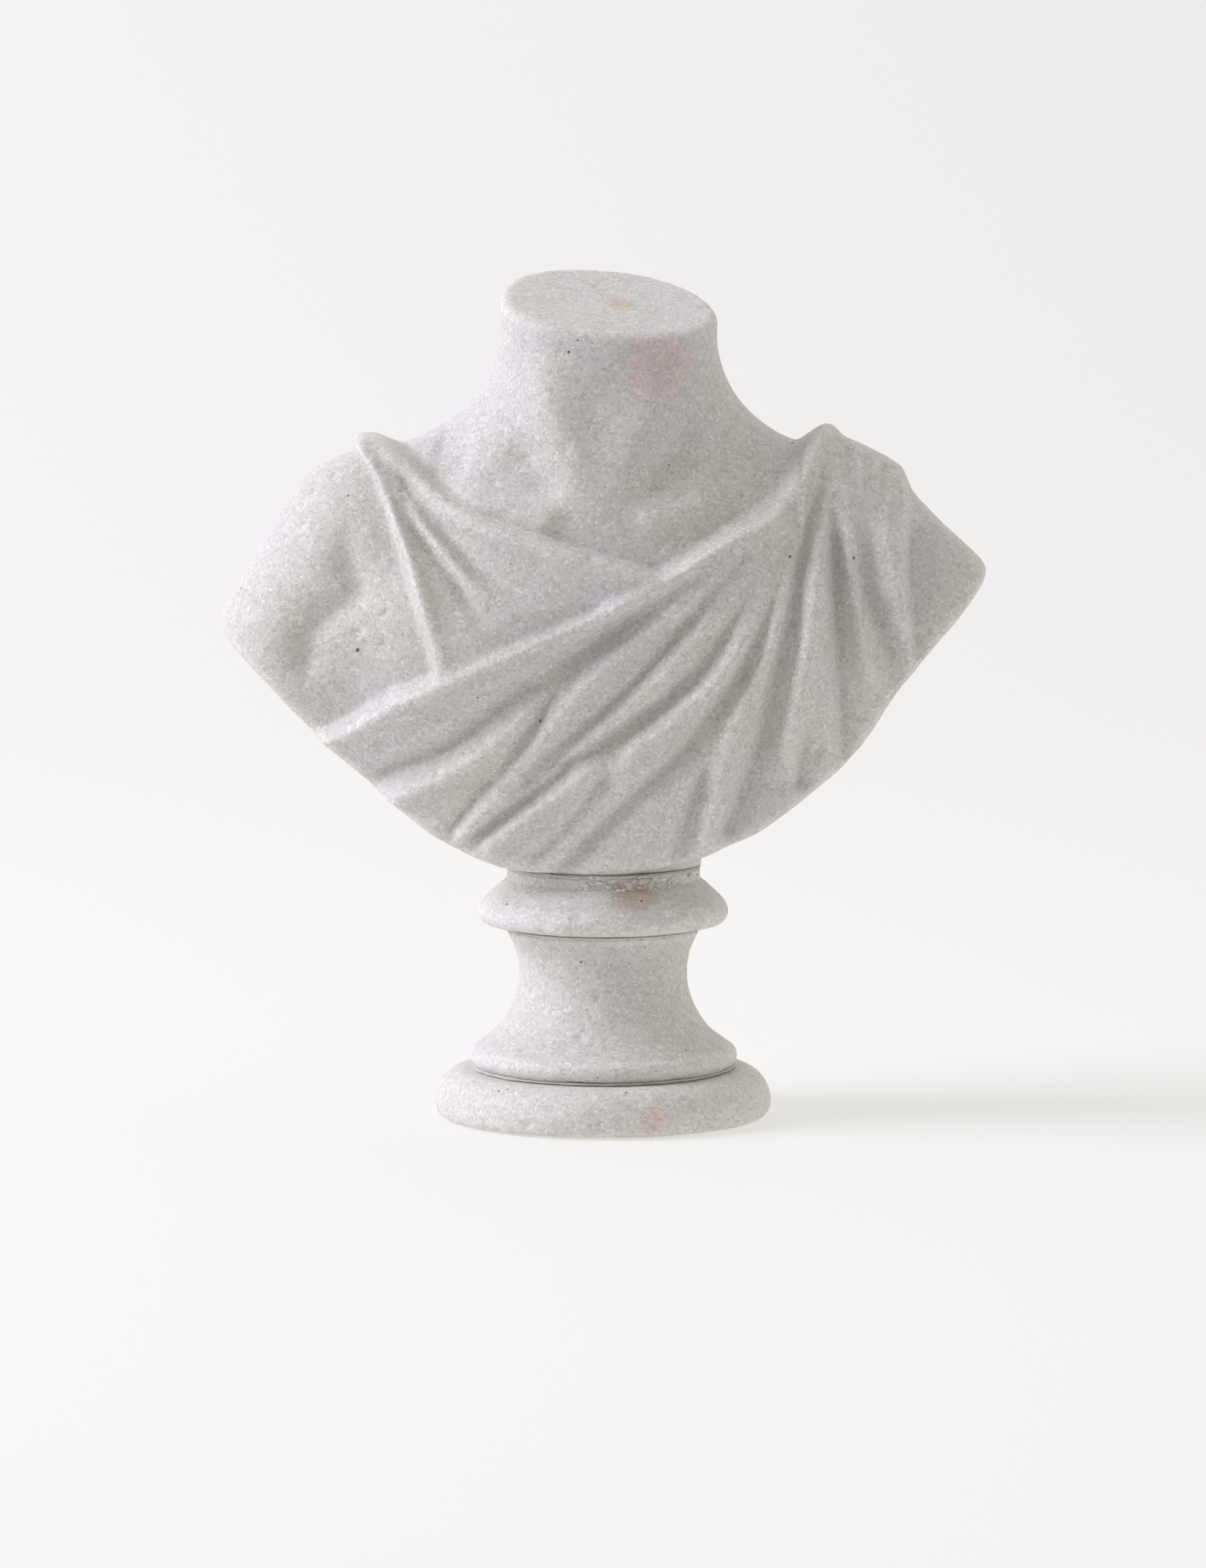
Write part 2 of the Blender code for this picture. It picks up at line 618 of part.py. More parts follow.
def make_nut(finish):
    """A thin hexagon nut with chamfered corners."""
    corner = NUT_ACROSS_FLATS / 2 / math.cos(math.pi / 6)
    shape = bmesh.new()
    bmesh.ops.create_cone(
        shape, cap_ends=True, segments=6, radius1=corner, radius2=corner, depth=NUT_HEIGHT
    )
    bmesh.ops.translate(shape, verts=shape.verts, vec=(0, 0, NUT_BOTTOM + NUT_HEIGHT / 2))
    rims = [e for e in shape.edges if abs(e.verts[0].co.z - e.verts[1].co.z) < 1e-7]
    bmesh.ops.bevel(shape, geom=rims, offset=NUT_CHAMFER, segments=1, affect="EDGES")
    mesh = bpy.data.meshes.new("nut")
    shape.to_mesh(mesh)
    shape.free()
    nut = add_object("nut", mesh, finish)
    bore, reach = ROD_RADIUS + GAP, NUT_HEIGHT
    low, high = NUT_BOTTOM - reach, NUT_BOTTOM + NUT_HEIGHT + reach
    cutter = [(0, high), (bore, high), (bore, low), (0, low)]
    cut_away(nut, turned("nut bore", cutter, finish, SMALL_SEGMENTS))
    return nut


def make_felt(finish):
    """The felt disc that the bust stands on."""
    profile = [(0, 0), (FELT_RADIUS, 0), (FELT_RADIUS, FELT_THICKNESS), (0, FELT_THICKNESS)]
    return turned("base_felt", profile, finish)


def main():
    """Clears the scene and builds every piece."""
    for leftover in list(bpy.data.objects):
        bpy.data.objects.remove(leftover)
    bust_marble = material("carved marble", (0.74, 0.73, 0.73), 0.55)
    socle_marble = material("turned marble", (0.70, 0.69, 0.68), 0.55)
    mortar = material("lime mortar", (0.62, 0.60, 0.56), 0.85)
    resin = material("anchoring resin", (0.55, 0.48, 0.34), 0.40)
    steel = material("zinc-plated steel", (0.60, 0.61, 0.62), 0.35, 1.0)
    felt = material("wool felt", (0.05, 0.10, 0.07), 0.95)
    make_plinth(socle_marble)
    make_stem(socle_marble)
    make_collar(socle_marble)
    make_bust(bust_marble)
    make_bed("plinth_bed", PLINTH_TOP, STEM_FOOT_RADIUS - 0.0018, mortar)
    make_bed("collar_bed", STEM_TOP, STEM_HEAD_RADIUS, mortar)
    make_bed("seat_bed", COLLAR_TOP, SEAT_RADIUS, mortar)
    make_rod(steel)
    make_resin(resin)
    make_washer(steel)
    make_nut(steel)
    make_felt(felt)


main()
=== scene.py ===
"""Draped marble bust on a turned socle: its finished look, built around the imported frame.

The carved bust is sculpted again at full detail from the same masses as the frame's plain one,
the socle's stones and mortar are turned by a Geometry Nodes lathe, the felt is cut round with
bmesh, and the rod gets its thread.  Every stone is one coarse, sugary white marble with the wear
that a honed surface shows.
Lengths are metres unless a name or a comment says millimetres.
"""

import logging
import math
from dataclasses import dataclass, field
from enum import Enum
from typing import Any, Callable, Sequence

import bmesh
import bpy
import numpy as np
from mathutils import Matrix, Vector, noise


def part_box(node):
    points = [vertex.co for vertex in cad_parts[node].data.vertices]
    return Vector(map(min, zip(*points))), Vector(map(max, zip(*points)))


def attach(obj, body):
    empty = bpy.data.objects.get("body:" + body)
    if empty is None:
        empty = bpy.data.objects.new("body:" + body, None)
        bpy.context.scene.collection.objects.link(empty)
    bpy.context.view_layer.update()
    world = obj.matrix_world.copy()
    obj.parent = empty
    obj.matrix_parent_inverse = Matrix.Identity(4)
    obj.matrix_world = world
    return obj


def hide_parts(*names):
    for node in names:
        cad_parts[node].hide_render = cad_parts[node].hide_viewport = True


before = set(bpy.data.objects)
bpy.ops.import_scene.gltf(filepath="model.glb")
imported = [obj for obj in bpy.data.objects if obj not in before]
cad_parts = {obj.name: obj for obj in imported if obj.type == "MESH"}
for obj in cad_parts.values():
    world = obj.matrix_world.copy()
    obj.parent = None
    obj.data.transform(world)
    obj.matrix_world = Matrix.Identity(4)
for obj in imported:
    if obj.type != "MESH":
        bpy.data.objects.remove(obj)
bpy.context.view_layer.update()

MM = 0.001
BODY = "root"
LOG = logging.getLogger("marble_bust")

Point2 = tuple[float, float]
Point3 = tuple[float, float, float]
Array = np.ndarray


# =============================================================================================
# Node and colour helpers
# =============================================================================================
def linear(hex_colour: str) -> tuple[float, float, float, float]:
    """Turns an sRGB hex colour into linear RGBA.

    Args:
        hex_colour: Six hex digits with a leading hash.

    Returns:
        Linear red, green, blue and an alpha of 1.
    """
    channels = [int(hex_colour[i:i + 2], 16) / 255 for i in (1, 3, 5)]
    return (*(c / 12.92 if c <= 0.04045 else ((c + 0.055) / 1.055) ** 2.4 for c in channels), 1.0)


def add(tree: bpy.types.NodeTree, kind: str, settings: dict[str, Any] | None = None,
        **inputs: Any) -> bpy.types.Node:
    """Adds a node with its settings, its input values and its incoming links.

    Args:
        tree: The node tree to add to.
        kind: The node's type name.
        settings: Properties of the node itself.
        inputs: Input values or sockets to link, by the input's name with underscores for
            spaces, or by in0, in1, ... for the input's place.

    Returns:
        The new node.
    """
    node = tree.nodes.new(kind)
    for name, value in (settings or {}).items():
        setattr(node, name, value)
    for name, value in inputs.items():
        numbered = name[:2] == "in" and name[2:].isdigit()
        place = int(name[2:]) if numbered else name.replace("_", " ")
        socket = node.inputs[place]
        if isinstance(value, bpy.types.NodeSocket):
            tree.links.new(value, socket)
        else:
            socket.default_value = value
    return node


def per_metre(size_mm: float) -> float:
    """Texture scale that gives features of this size in millimetres."""
    return 1000.0 / size_mm


def times(tree: bpy.types.NodeTree, first: Any, second: Any) -> bpy.types.NodeSocket:
    """Product of two values, each a number or a socket."""
    return add(tree, "ShaderNodeMath", {"operation": "MULTIPLY"}, in0=first,
               in1=second).outputs[0]


def times_plus(tree: bpy.types.NodeTree, first: Any, second: Any,
               third: Any) -> bpy.types.NodeSocket:
    """Product of the first two values, with the third added."""
    return add(tree, "ShaderNodeMath", {"operation": "MULTIPLY_ADD"}, in0=first, in1=second,
               in2=third).outputs[0]


def ranged(tree: bpy.types.NodeTree, value: bpy.types.NodeSocket, start: float, end: float,
           low: float = 0.0, high: float = 1.0, curve: str = "LINEAR") -> bpy.types.NodeSocket:
    """Maps a value to a new range.

    Args:
        tree: The node tree to add to.
        value: The value to map.
        start: The value that gives the low result.
        end: The value that gives the high result.
        low: The low result.
        high: The high result.
        curve: How it runs from one to the other.

    Returns:
        The mapped value.
    """
    return add(tree, "ShaderNodeMapRange", {"interpolation_type": curve}, Value=value,
               From_Min=start, From_Max=end, To_Min=low, To_Max=high).outputs["Result"]


def mixed(tree: bpy.types.NodeTree, share: bpy.types.NodeSocket, first: Any,
          second: Any) -> bpy.types.NodeSocket:
    """Colour between two others, each a socket or a hex colour."""
    first, second = (linear(c) if isinstance(c, str) else c for c in (first, second))
    return add(tree, "ShaderNodeMix", {"data_type": "RGBA"}, in0=share, in6=first,
               in7=second).outputs[2]


def bare_finish(name: str) -> tuple[bpy.types.Material, bpy.types.NodeTree, bpy.types.Node]:
    """Starts a finish: the material, its node tree and its shader."""
    made = bpy.data.materials.new(name)
    made.use_nodes = True
    return made, made.node_tree, made.node_tree.nodes["Principled BSDF"]


def join(tree: bpy.types.NodeTree, shader: bpy.types.Node, colour: bpy.types.NodeSocket,
         height: bpy.types.NodeSocket, strength: float, depth: float,
         roughness: bpy.types.NodeSocket | None = None) -> None:
    """Joins a finish's patterns to its shader.

    Args:
        tree: The material's node tree.
        shader: Its shader.
        colour: The colour pattern.
        height: The height pattern for fine bumps.
        strength: The bumps' strength.
        depth: The bumps' depth in metres.
        roughness: The roughness pattern, where there is one.
    """
    bump = add(tree, "ShaderNodeBump", Strength=strength, Distance=depth, Height=height)
    tree.links.new(bump.outputs[0], shader.inputs["Normal"])
    tree.links.new(colour, shader.inputs["Base Color"])
    if roughness is not None:
        tree.links.new(roughness, shader.inputs["Roughness"])


# =============================================================================================
# Finishes
# =============================================================================================
HOLLOW = "hollow"


@dataclass(frozen=True)
class Marble:
    """Coarse dolomitic marble, sawn, carved and honed without polish.

    Its crystals are about a millimetre across and each takes the light differently, so the
    surface looks sugary.  It is cool white with warmer clouds.  Its hollows are painted darker,
    partly for dust and partly as painted shade, and its pits are painted dark as painted shade.
    """

    name: str
    cool: str = "#dbd9da"
    warm: str = "#dcd8d2"
    warm_share: float = 0.45
    cloud_mm: float = 60.0
    crystal_mm: float = 0.88
    crystal_contrast: float = 0.18
    rubbed_colour: str = "#ece9e6"
    dust_and_shade_colour: str = "#aaa7a4"
    pit_spacing_mm: float = 5.5
    pit_cluster_mm: float = 24.0
    pit_shade_colour: str = "#4e4b49"
    stains: tuple[tuple[Point3, float, str], ...] = ()

    def _worn_and_shaded(self, tree: bpy.types.NodeTree, place: bpy.types.NodeSocket,
              mottle: bpy.types.NodeSocket) -> bpy.types.NodeSocket:
        """The stone's colour without its crystals: clouds, stains (one darkened with painted
        shade), dust and painted shade in its hollows, and rubbed edges.
        """
        cloud = add(tree, "ShaderNodeTexNoise", Vector=place, Scale=per_metre(self.cloud_mm),
                    Detail=3.0, Roughness=0.55, Distortion=0.4)
        warmth = ranged(tree, cloud.outputs["Fac"], 0.75 - self.warm_share,
                        1.05 - self.warm_share, curve="SMOOTHSTEP")
        body = mixed(tree, warmth, self.cool, self.warm)
        for centre, radius_mm, colour in self.stains:
            away = add(tree, "ShaderNodeVectorMath", {"operation": "DISTANCE"}, in0=place,
                       in1=centre)
            ragged = times_plus(tree, mottle, -0.9 * radius_mm * MM, away.outputs["Value"])
            reach = ranged(tree, ragged, 0.0, radius_mm * MM, 1.0, 0.0, "SMOOTHSTEP")
            body = mixed(tree, reach, body, colour)
        hollow = add(tree, "ShaderNodeAttribute", {"attribute_name": HOLLOW}).outputs["Fac"]
        # Painted shade: hollows are darkened, partly for dust and partly for the shade that falls
        # in them.
        dust_and_shade = ranged(tree, hollow, 0.15, 0.95, 0.0, 0.34, "SMOOTHSTEP")
        rubbed = ranged(tree, hollow, -0.05, -0.8, 0.0, 0.5, "SMOOTHSTEP")
        return mixed(tree, rubbed, mixed(tree, dust_and_shade, body, self.dust_and_shade_colour),
                     self.rubbed_colour)

    def material(self) -> bpy.types.Material:
        """Builds the marble's material.

        Returns:
            The finished material.
        """
        made, tree, shader = bare_finish(self.name)
        place = add(tree, "ShaderNodeTexCoord").outputs["Object"]

        # Crystals: one random tone for each cell of about a millimetre, with uneven borders.
        waver = add(tree, "ShaderNodeTexNoise", Vector=place, Scale=per_metre(1.6), Detail=2.0)
        bent = add(tree, "ShaderNodeVectorMath", {"operation": "MULTIPLY_ADD"},
                   in0=waver.outputs["Color"], in1=(0.5 * MM,) * 3, in2=place).outputs[0]
        cells = add(tree, "ShaderNodeTexVoronoi", Vector=bent,
                    Scale=per_metre(self.crystal_mm), Randomness=1.0)
        tone = add(tree, "ShaderNodeSeparateColor", Color=cells.outputs["Color"]).outputs
        grey = ranged(tree, tone[0], 0.0, 0.45, 1.0 - self.crystal_contrast, 1.0)
        white = ranged(tree, tone[0], 0.80, 0.98, 0.0, 0.9 * self.crystal_contrast)
        crystal = add(tree, "ShaderNodeMath", {"operation": "ADD"}, in0=grey, in1=white)
        speck = add(tree, "ShaderNodeTexNoise", Vector=place, Scale=per_metre(0.7), Detail=3.0,
                    Roughness=0.65).outputs["Fac"]
        mottle = add(tree, "ShaderNodeTexNoise", Vector=place, Scale=per_metre(5.0), Detail=4.0,
                     Roughness=0.6).outputs["Fac"]
        fine = ranged(tree, speck, 0.3, 0.7, 0.93, 1.05)
        broad = ranged(tree, mottle, 0.3, 0.7, 0.95, 1.03)

        # Pits where a crystal fell out: in clusters, a few cells only, each with its own size.
        spots = add(tree, "ShaderNodeTexVoronoi", Vector=bent,
                    Scale=per_metre(self.pit_spacing_mm), Randomness=1.0)
        chance = add(tree, "ShaderNodeSeparateColor", Color=spots.outputs["Color"])
        cluster = add(tree, "ShaderNodeTexNoise", Vector=place,
                      Scale=per_metre(self.pit_cluster_mm), Detail=2.0)
        luck = times(tree, chance.outputs[1], cluster.outputs["Fac"])
        depth = add(tree, "ShaderNodeMath", {"operation": "SUBTRACT"},
                    in0=ranged(tree, luck, 0.33, 0.62, 0.0, 0.15), in1=spots.outputs["Distance"])
        pit = ranged(tree, depth.outputs[0], 0.0, 0.045, curve="SMOOTHSTEP")
        # Painted shade: each pit is painted dark for the shade that falls inside it.
        body = mixed(tree, times(tree, pit, 0.85), self._worn_and_shaded(tree, place, mottle),
                     self.pit_shade_colour)
        shade = times(tree, times(tree, crystal.outputs[0], fine), broad)
        colour = add(tree, "ShaderNodeVectorMath", {"operation": "SCALE"}, in0=body, Scale=shade)

        # A few crystals lie flush and glint, while the rest of the face is matte.
        glint = ranged(tree, tone[1], 0.86, 0.97, 0.62, 0.30)
        relief = times_plus(tree, pit, -3.0, times_plus(tree, tone[2], 0.55, speck))
        join(tree, shader, colour.outputs[0], relief, 0.7, 0.28 * MM,
             roughness=times_plus(tree, pit, 0.3, glint))
        shader.inputs["IOR"].default_value = 1.50
        shader.inputs["Subsurface Weight"].default_value = 0.10
        shader.inputs["Subsurface Radius"].default_value = (1.0, 0.88, 0.78)
        shader.inputs["Subsurface Scale"].default_value = 2.5 * MM
        return made


@dataclass(frozen=True)
class Mortar:
    """Lime mortar, pressed out of a joint and left rough: sandy, matte and warmer than stone."""

    name: str = "lime mortar, struck rough"
    pale: str = "#dddad4"
    dark: str = "#c2bcb1"
    sand_mm: float = 0.6

    def material(self) -> bpy.types.Material:
        """Builds the mortar's material.

        Returns:
            The finished material.
        """
        made, tree, shader = bare_finish(self.name)
        place = add(tree, "ShaderNodeTexCoord").outputs["Object"]
        sand = add(tree, "ShaderNodeTexVoronoi", Vector=place, Scale=per_metre(self.sand_mm))
        grain = add(tree, "ShaderNodeSeparateColor", Color=sand.outputs["Color"]).outputs
        damp = add(tree, "ShaderNodeTexNoise", Vector=place, Scale=per_metre(4.0), Detail=4.0)
        body = mixed(tree, times(tree, grain[0], damp.outputs["Fac"]), self.pale, self.dark)
        join(tree, shader, body, grain[2], 0.8, 0.3 * MM,
             roughness=ranged(tree, grain[1], 0.0, 1.0, 0.78, 0.95))
        return made


@dataclass(frozen=True)
class CuredResin:
    """Filled polyester anchoring resin: amber, satin, with trapped bubbles."""

    name: str = "anchoring resin, cast"
    amber: str = "#a88a55"
    milky: str = "#c4b083"

    def material(self) -> bpy.types.Material:
        """Builds the resin's material.

        Returns:
            The finished material.
        """
        made, tree, shader = bare_finish(self.name)
        place = add(tree, "ShaderNodeTexCoord").outputs["Object"]
        swirl = add(tree, "ShaderNodeTexNoise", Vector=place, Scale=per_metre(6.0), Detail=5.0,
                    Distortion=1.5).outputs["Fac"]
        bubbles = add(tree, "ShaderNodeTexVoronoi", Vector=place, Scale=per_metre(1.8))
        join(tree, shader, mixed(tree, swirl, self.amber, self.milky),
             ranged(tree, bubbles.outputs["Distance"], 0.0, 0.25), 0.5, 0.2 * MM,
             roughness=ranged(tree, swirl, 0.0, 1.0, 0.28, 0.5))
        return made


@dataclass(frozen=True)
class ZincSteel:
    """Mild steel, cold rolled and zinc plated: grey with a faint spangle and dull patches."""

    name: str = "mild steel, zinc plated"
    bright: str = "#c9cbcd"
    dull: str = "#9a9c9d"

    def material(self) -> bpy.types.Material:
        """Builds the plated steel's material.

        Returns:
            The finished material.
        """
        made, tree, shader = bare_finish(self.name)
        shader.inputs["Metallic"].default_value = 1.0
        place = add(tree, "ShaderNodeTexCoord").outputs["Object"]
        spangle = add(tree, "ShaderNodeTexVoronoi", Vector=place, Scale=per_metre(1.4))
        flake = add(tree, "ShaderNodeSeparateColor", Color=spangle.outputs["Color"]).outputs
        haze = add(tree, "ShaderNodeTexNoise", Vector=place, Scale=per_metre(7.0),
                   Detail=5.0).outputs["Fac"]
        body = mixed(tree, times_plus(tree, flake[0], 0.35, haze), self.bright, self.dull)
        join(tree, shader, body, flake[1], 0.2, 0.05 * MM,
             roughness=ranged(tree, haze, 0.0, 1.0, 0.22, 0.5))
        return made


@dataclass(frozen=True)
class WoolFelt:
    """Pressed wool felt, die cut: deep green, with matted fibres and a soft sheen."""

    name: str = "wool felt, pressed"
    deep: str = "#2b3a31"
    pale: str = "#4b5d50"

    def material(self) -> bpy.types.Material:
        """Builds the felt's material.

        Returns:
            The finished material.
        """
        made, tree, shader = bare_finish(self.name)
        place = add(tree, "ShaderNodeTexCoord").outputs["Object"]
        swirl = add(tree, "ShaderNodeTexNoise", Vector=place, Scale=per_metre(3.0), Detail=3.0)
        bent = add(tree, "ShaderNodeVectorMath", {"operation": "MULTIPLY_ADD"},
                   in0=swirl.outputs["Color"], in1=(4.0 * MM,) * 3, in2=place)
        fibre = add(tree, "ShaderNodeTexNoise", Vector=bent.outputs[0], Scale=per_metre(0.5),
                    Detail=6.0, Roughness=0.7).outputs["Fac"]
        join(tree, shader, mixed(tree, fibre, self.deep, self.pale), fibre, 0.7, 0.25 * MM)
        shader.inputs["Roughness"].default_value = 0.95
        shader.inputs["Sheen Weight"].default_value = 0.35
        shader.inputs["Sheen Roughness"].default_value = 0.5
        return made


@dataclass(frozen=True)
class SeamlessPaper:
    """The studio's seamless paper: plain, pale and matte, and lit evenly by its own glow."""

    name: str = "seamless paper"
    colour: str = "#adacab"
    glow: str = "#fffffc"
    glow_strength: float = 0.505

    def material(self) -> bpy.types.Material:
        """Builds the paper's material.

        Returns:
            The finished material.
        """
        made, _, shader = bare_finish(self.name)
        shader.inputs["Base Color"].default_value = linear(self.colour)
        shader.inputs["Roughness"].default_value = 1.0
        shader.inputs["Specular IOR Level"].default_value = 0.0
        shader.inputs["Emission Color"].default_value = linear(self.glow)
        shader.inputs["Emission Strength"].default_value = self.glow_strength
        return made


# =============================================================================================
# Mesh helpers
# =============================================================================================
def ramp(value: Array) -> Array:
    """Smooth step from 0 to 1."""
    value = np.clip(value, 0.0, 1.0)
    return value * value * (3 - 2 * value)


def smooth_curve(points: Sequence[Sequence[float]], per_span: int) -> Array:
    """Samples a Catmull-Rom curve through the points.

    Args:
        points: The points that the curve passes through.
        per_span: Samples between two points.

    Returns:
        The samples, one row each.
    """
    knots = np.array(points, float)
    knots = np.vstack([2 * knots[0] - knots[1], knots, 2 * knots[-1] - knots[-2]])
    t = np.linspace(0, 1, per_span, endpoint=False)[:, None]
    spans = []
    for a, b, c, d in zip(knots, knots[1:], knots[2:], knots[3:]):
        spans.append(0.5 * (2 * b + (c - a) * t + (2 * a - 5 * b + 4 * c - d) * t**2
                            + (3 * b - a - 3 * c + d) * t**3))
    return np.vstack(spans + [knots[-2][None]])


def arc(centre: Point2, radii: Point2, start: float, end: float, steps: int) -> list[Point2]:
    """Points (radius, height) of an elliptical arc.

    Args:
        centre: The arc's centre.
        radii: Its half width and half height.
        start: Its first angle in degrees.
        end: Its last angle in degrees.
        steps: How many points it has.

    Returns:
        The points in order.
    """
    turns = np.radians(np.linspace(start, end, steps))
    return [(centre[0] + radii[0] * math.cos(a), centre[1] + radii[1] * math.sin(a))
            for a in turns]


def outward_mesh(mesh: bpy.types.Mesh) -> None:
    """Turns every face of a closed mesh outwards."""
    shape = bmesh.new()
    shape.from_mesh(mesh)
    bmesh.ops.recalc_face_normals(shape, faces=shape.faces)
    if shape.calc_volume(signed=True) < 0:
        bmesh.ops.reverse_faces(shape, faces=shape.faces)
    shape.to_mesh(mesh)
    shape.free()


def points_of(mesh: bpy.types.Mesh) -> Array:
    """The mesh's points, one row each."""
    flat = np.empty(len(mesh.vertices) * 3)
    mesh.vertices.foreach_get("co", flat)
    return flat.reshape(-1, 3)


def normals_of(mesh: bpy.types.Mesh) -> Array:
    """The mesh's point normals, one row each."""
    flat = np.empty(len(mesh.vertices) * 3)
    mesh.vertex_normals.foreach_get("vector", flat)
    return flat.reshape(-1, 3)


def move_points(mesh: bpy.types.Mesh, points: Array) -> None:
    """Writes new places for the mesh's points."""
    mesh.vertices.foreach_set("co", points.ravel())
    mesh.update()


def noise_at(points: Array, size: float, seed: float) -> Array:
    """Smooth noise from -1 to 1.

    Args:
        points: Where to read it, one row each.
        size: The size of its features.
        seed: Shifts the pattern.

    Returns:
        One value for each point.
    """
    shift = Vector((seed * 7.1, seed * 3.7, seed * 5.3))
    return np.array([noise.noise(Vector(p) / size + shift) for p in points])


def roughen(mesh: bpy.types.Mesh, layers: Sequence[tuple[float, float]], seed: float) -> None:
    """Moves a mesh's points along their normals by layers of noise.

    Args:
        mesh: The mesh to change.
        layers: Feature size and height of each layer.
        seed: Shifts the pattern.
    """
    points, normals = points_of(mesh), normals_of(mesh)
    lift = sum(height * noise_at(points, size, seed + i)
               for i, (size, height) in enumerate(layers))
    move_points(mesh, points + normals * lift[:, None])


def pitted(points: Array, normals: Array, chosen: Array, spread: Point2, share: float,
           draw: np.random.Generator) -> Array:
    """Sinks round pits of random size into a surface.

    Args:
        points: The surface's points, one row each.
        normals: Their normals.
        chosen: The places in the list of the points that pits lie at.
        spread: The least radius in millimetres, and what the largest adds to it.
        share: A pit's depth as a share of its radius.
        draw: Where the random sizes come from.

    Returns:
        The moved points.
    """
    drop = np.zeros(len(points))
    for index in chosen:
        radius = MM * (spread[0] + spread[1] * draw.random() ** 3)
        offset = points - points[index]
        near = np.flatnonzero((np.abs(offset) < 1.6 * radius).all(axis=1))
        reach = np.linalg.norm(offset[near], axis=1) / radius
        drop[near] = np.maximum(drop[near], share * radius * np.exp(-(reach**2) * 1.6))
    return points - normals * drop[:, None]


def mark_hollows(mesh: bpy.types.Mesh, depth: float, rounds: int) -> None:
    """Stores how deep in a hollow (positive) or proud on an edge (negative) each point lies.

    Args:
        mesh: The mesh to mark.
        depth: The depth that counts as 1.
        rounds: How far the surface is smoothed before it is compared with itself.
    """
    points, normals = points_of(mesh), normals_of(mesh)
    edges = np.empty(len(mesh.edges) * 2, np.int32)
    mesh.edges.foreach_get("vertices", edges)
    first, second = edges.reshape(-1, 2).T
    count = np.bincount(first, minlength=len(points)) + np.bincount(second, minlength=len(points))
    smoothed = points.copy()
    for _ in range(rounds):
        total = np.stack(
            [np.bincount(first, smoothed[second, i], len(points))
             + np.bincount(second, smoothed[first, i], len(points)) for i in range(3)], axis=1)
        smoothed = 0.5 * smoothed + 0.5 * total / np.maximum(count, 1)[:, None]
    hollow = ((smoothed - points) * normals).sum(axis=1) / depth
    layer = mesh.attributes.new(HOLLOW, "FLOAT", "POINT")
    layer.data.foreach_set("value", np.clip(hollow, -1, 1).astype(np.float32))


def place_piece(name: str, mesh: bpy.types.Mesh, finish: bpy.types.Material,
                stands_for: str) -> bpy.types.Object:
    """Puts a finished mesh into the scene as a piece of the object.

    Args:
        name: The piece's name.
        mesh: Its mesh, in place.
        finish: Its material.
        stands_for: The frame node that it replaces.

    Returns:
        The piece.
    """
    mesh.materials.clear()
    mesh.materials.append(finish)
    mesh.shade_smooth()
    piece = bpy.data.objects.new(name, mesh)
    bpy.context.scene.collection.objects.link(piece)
    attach(piece, BODY)
    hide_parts(stands_for)
    LOG.info("%s: %d faces, stands for %s", name, len(mesh.polygons), stands_for)
    return piece


# =============================================================================================
# Geometry Nodes
# =============================================================================================
class TreeBuilder:
    """A Geometry Nodes tree with named inputs, built in the script."""

    def __init__(self, name: str, floats: dict[str, float], ints: dict[str, int]) -> None:
        """Makes an empty tree with a geometry input and output.

        Args:
            name: The tree's name.
            floats: Its number inputs and their default values.
            ints: Its whole-number inputs and their default values.
        """
        self.tree = bpy.data.node_groups.new(name, "GeometryNodeTree")
        face = self.tree.interface
        face.new_socket("Geometry", in_out="INPUT", socket_type="NodeSocketGeometry")
        for kind, values in (("NodeSocketFloat", floats), ("NodeSocketInt", ints)):
            for key, value in values.items():
                face.new_socket(key, in_out="INPUT", socket_type=kind).default_value = value
        face.new_socket("Finish", in_out="INPUT", socket_type="NodeSocketMaterial")
        face.new_socket("Geometry", in_out="OUTPUT", socket_type="NodeSocketGeometry")
        self.given = self.tree.nodes.new("NodeGroupInput").outputs
        self.result = self.tree.nodes.new("NodeGroupOutput")

    def node(self, kind: str, settings: dict[str, Any] | None = None,
             **inputs: Any) -> bpy.types.Node:
        """Adds a node to this tree, as the add function does."""
        return add(self.tree, kind, settings, **inputs)

    def math(self, operation: str, *values: Any) -> bpy.types.NodeSocket:
        """Adds one Math node and gives its result."""
        inputs = {f"in{i}": value for i, value in enumerate(values)}
        return self.node("ShaderNodeMath", {"operation": operation}, **inputs).outputs[0]

    def close(self, mesh: bpy.types.NodeSocket) -> bpy.types.NodeTree:
        """Ends the tree: points merged, instances realised, material set.

        Args:
            mesh: The geometry to finish.

        Returns:
            The finished tree.
        """
        merged = self.node("GeometryNodeMergeByDistance", Geometry=mesh, Distance=1e-6)
        real = self.node("GeometryNodeRealizeInstances", Geometry=merged.outputs[0])
        dressed = self.node("GeometryNodeSetMaterial", Geometry=real.outputs[0],
                            Material=self.given["Finish"])
        self.tree.links.new(dressed.outputs[0], self.result.inputs[0])
        return self.tree


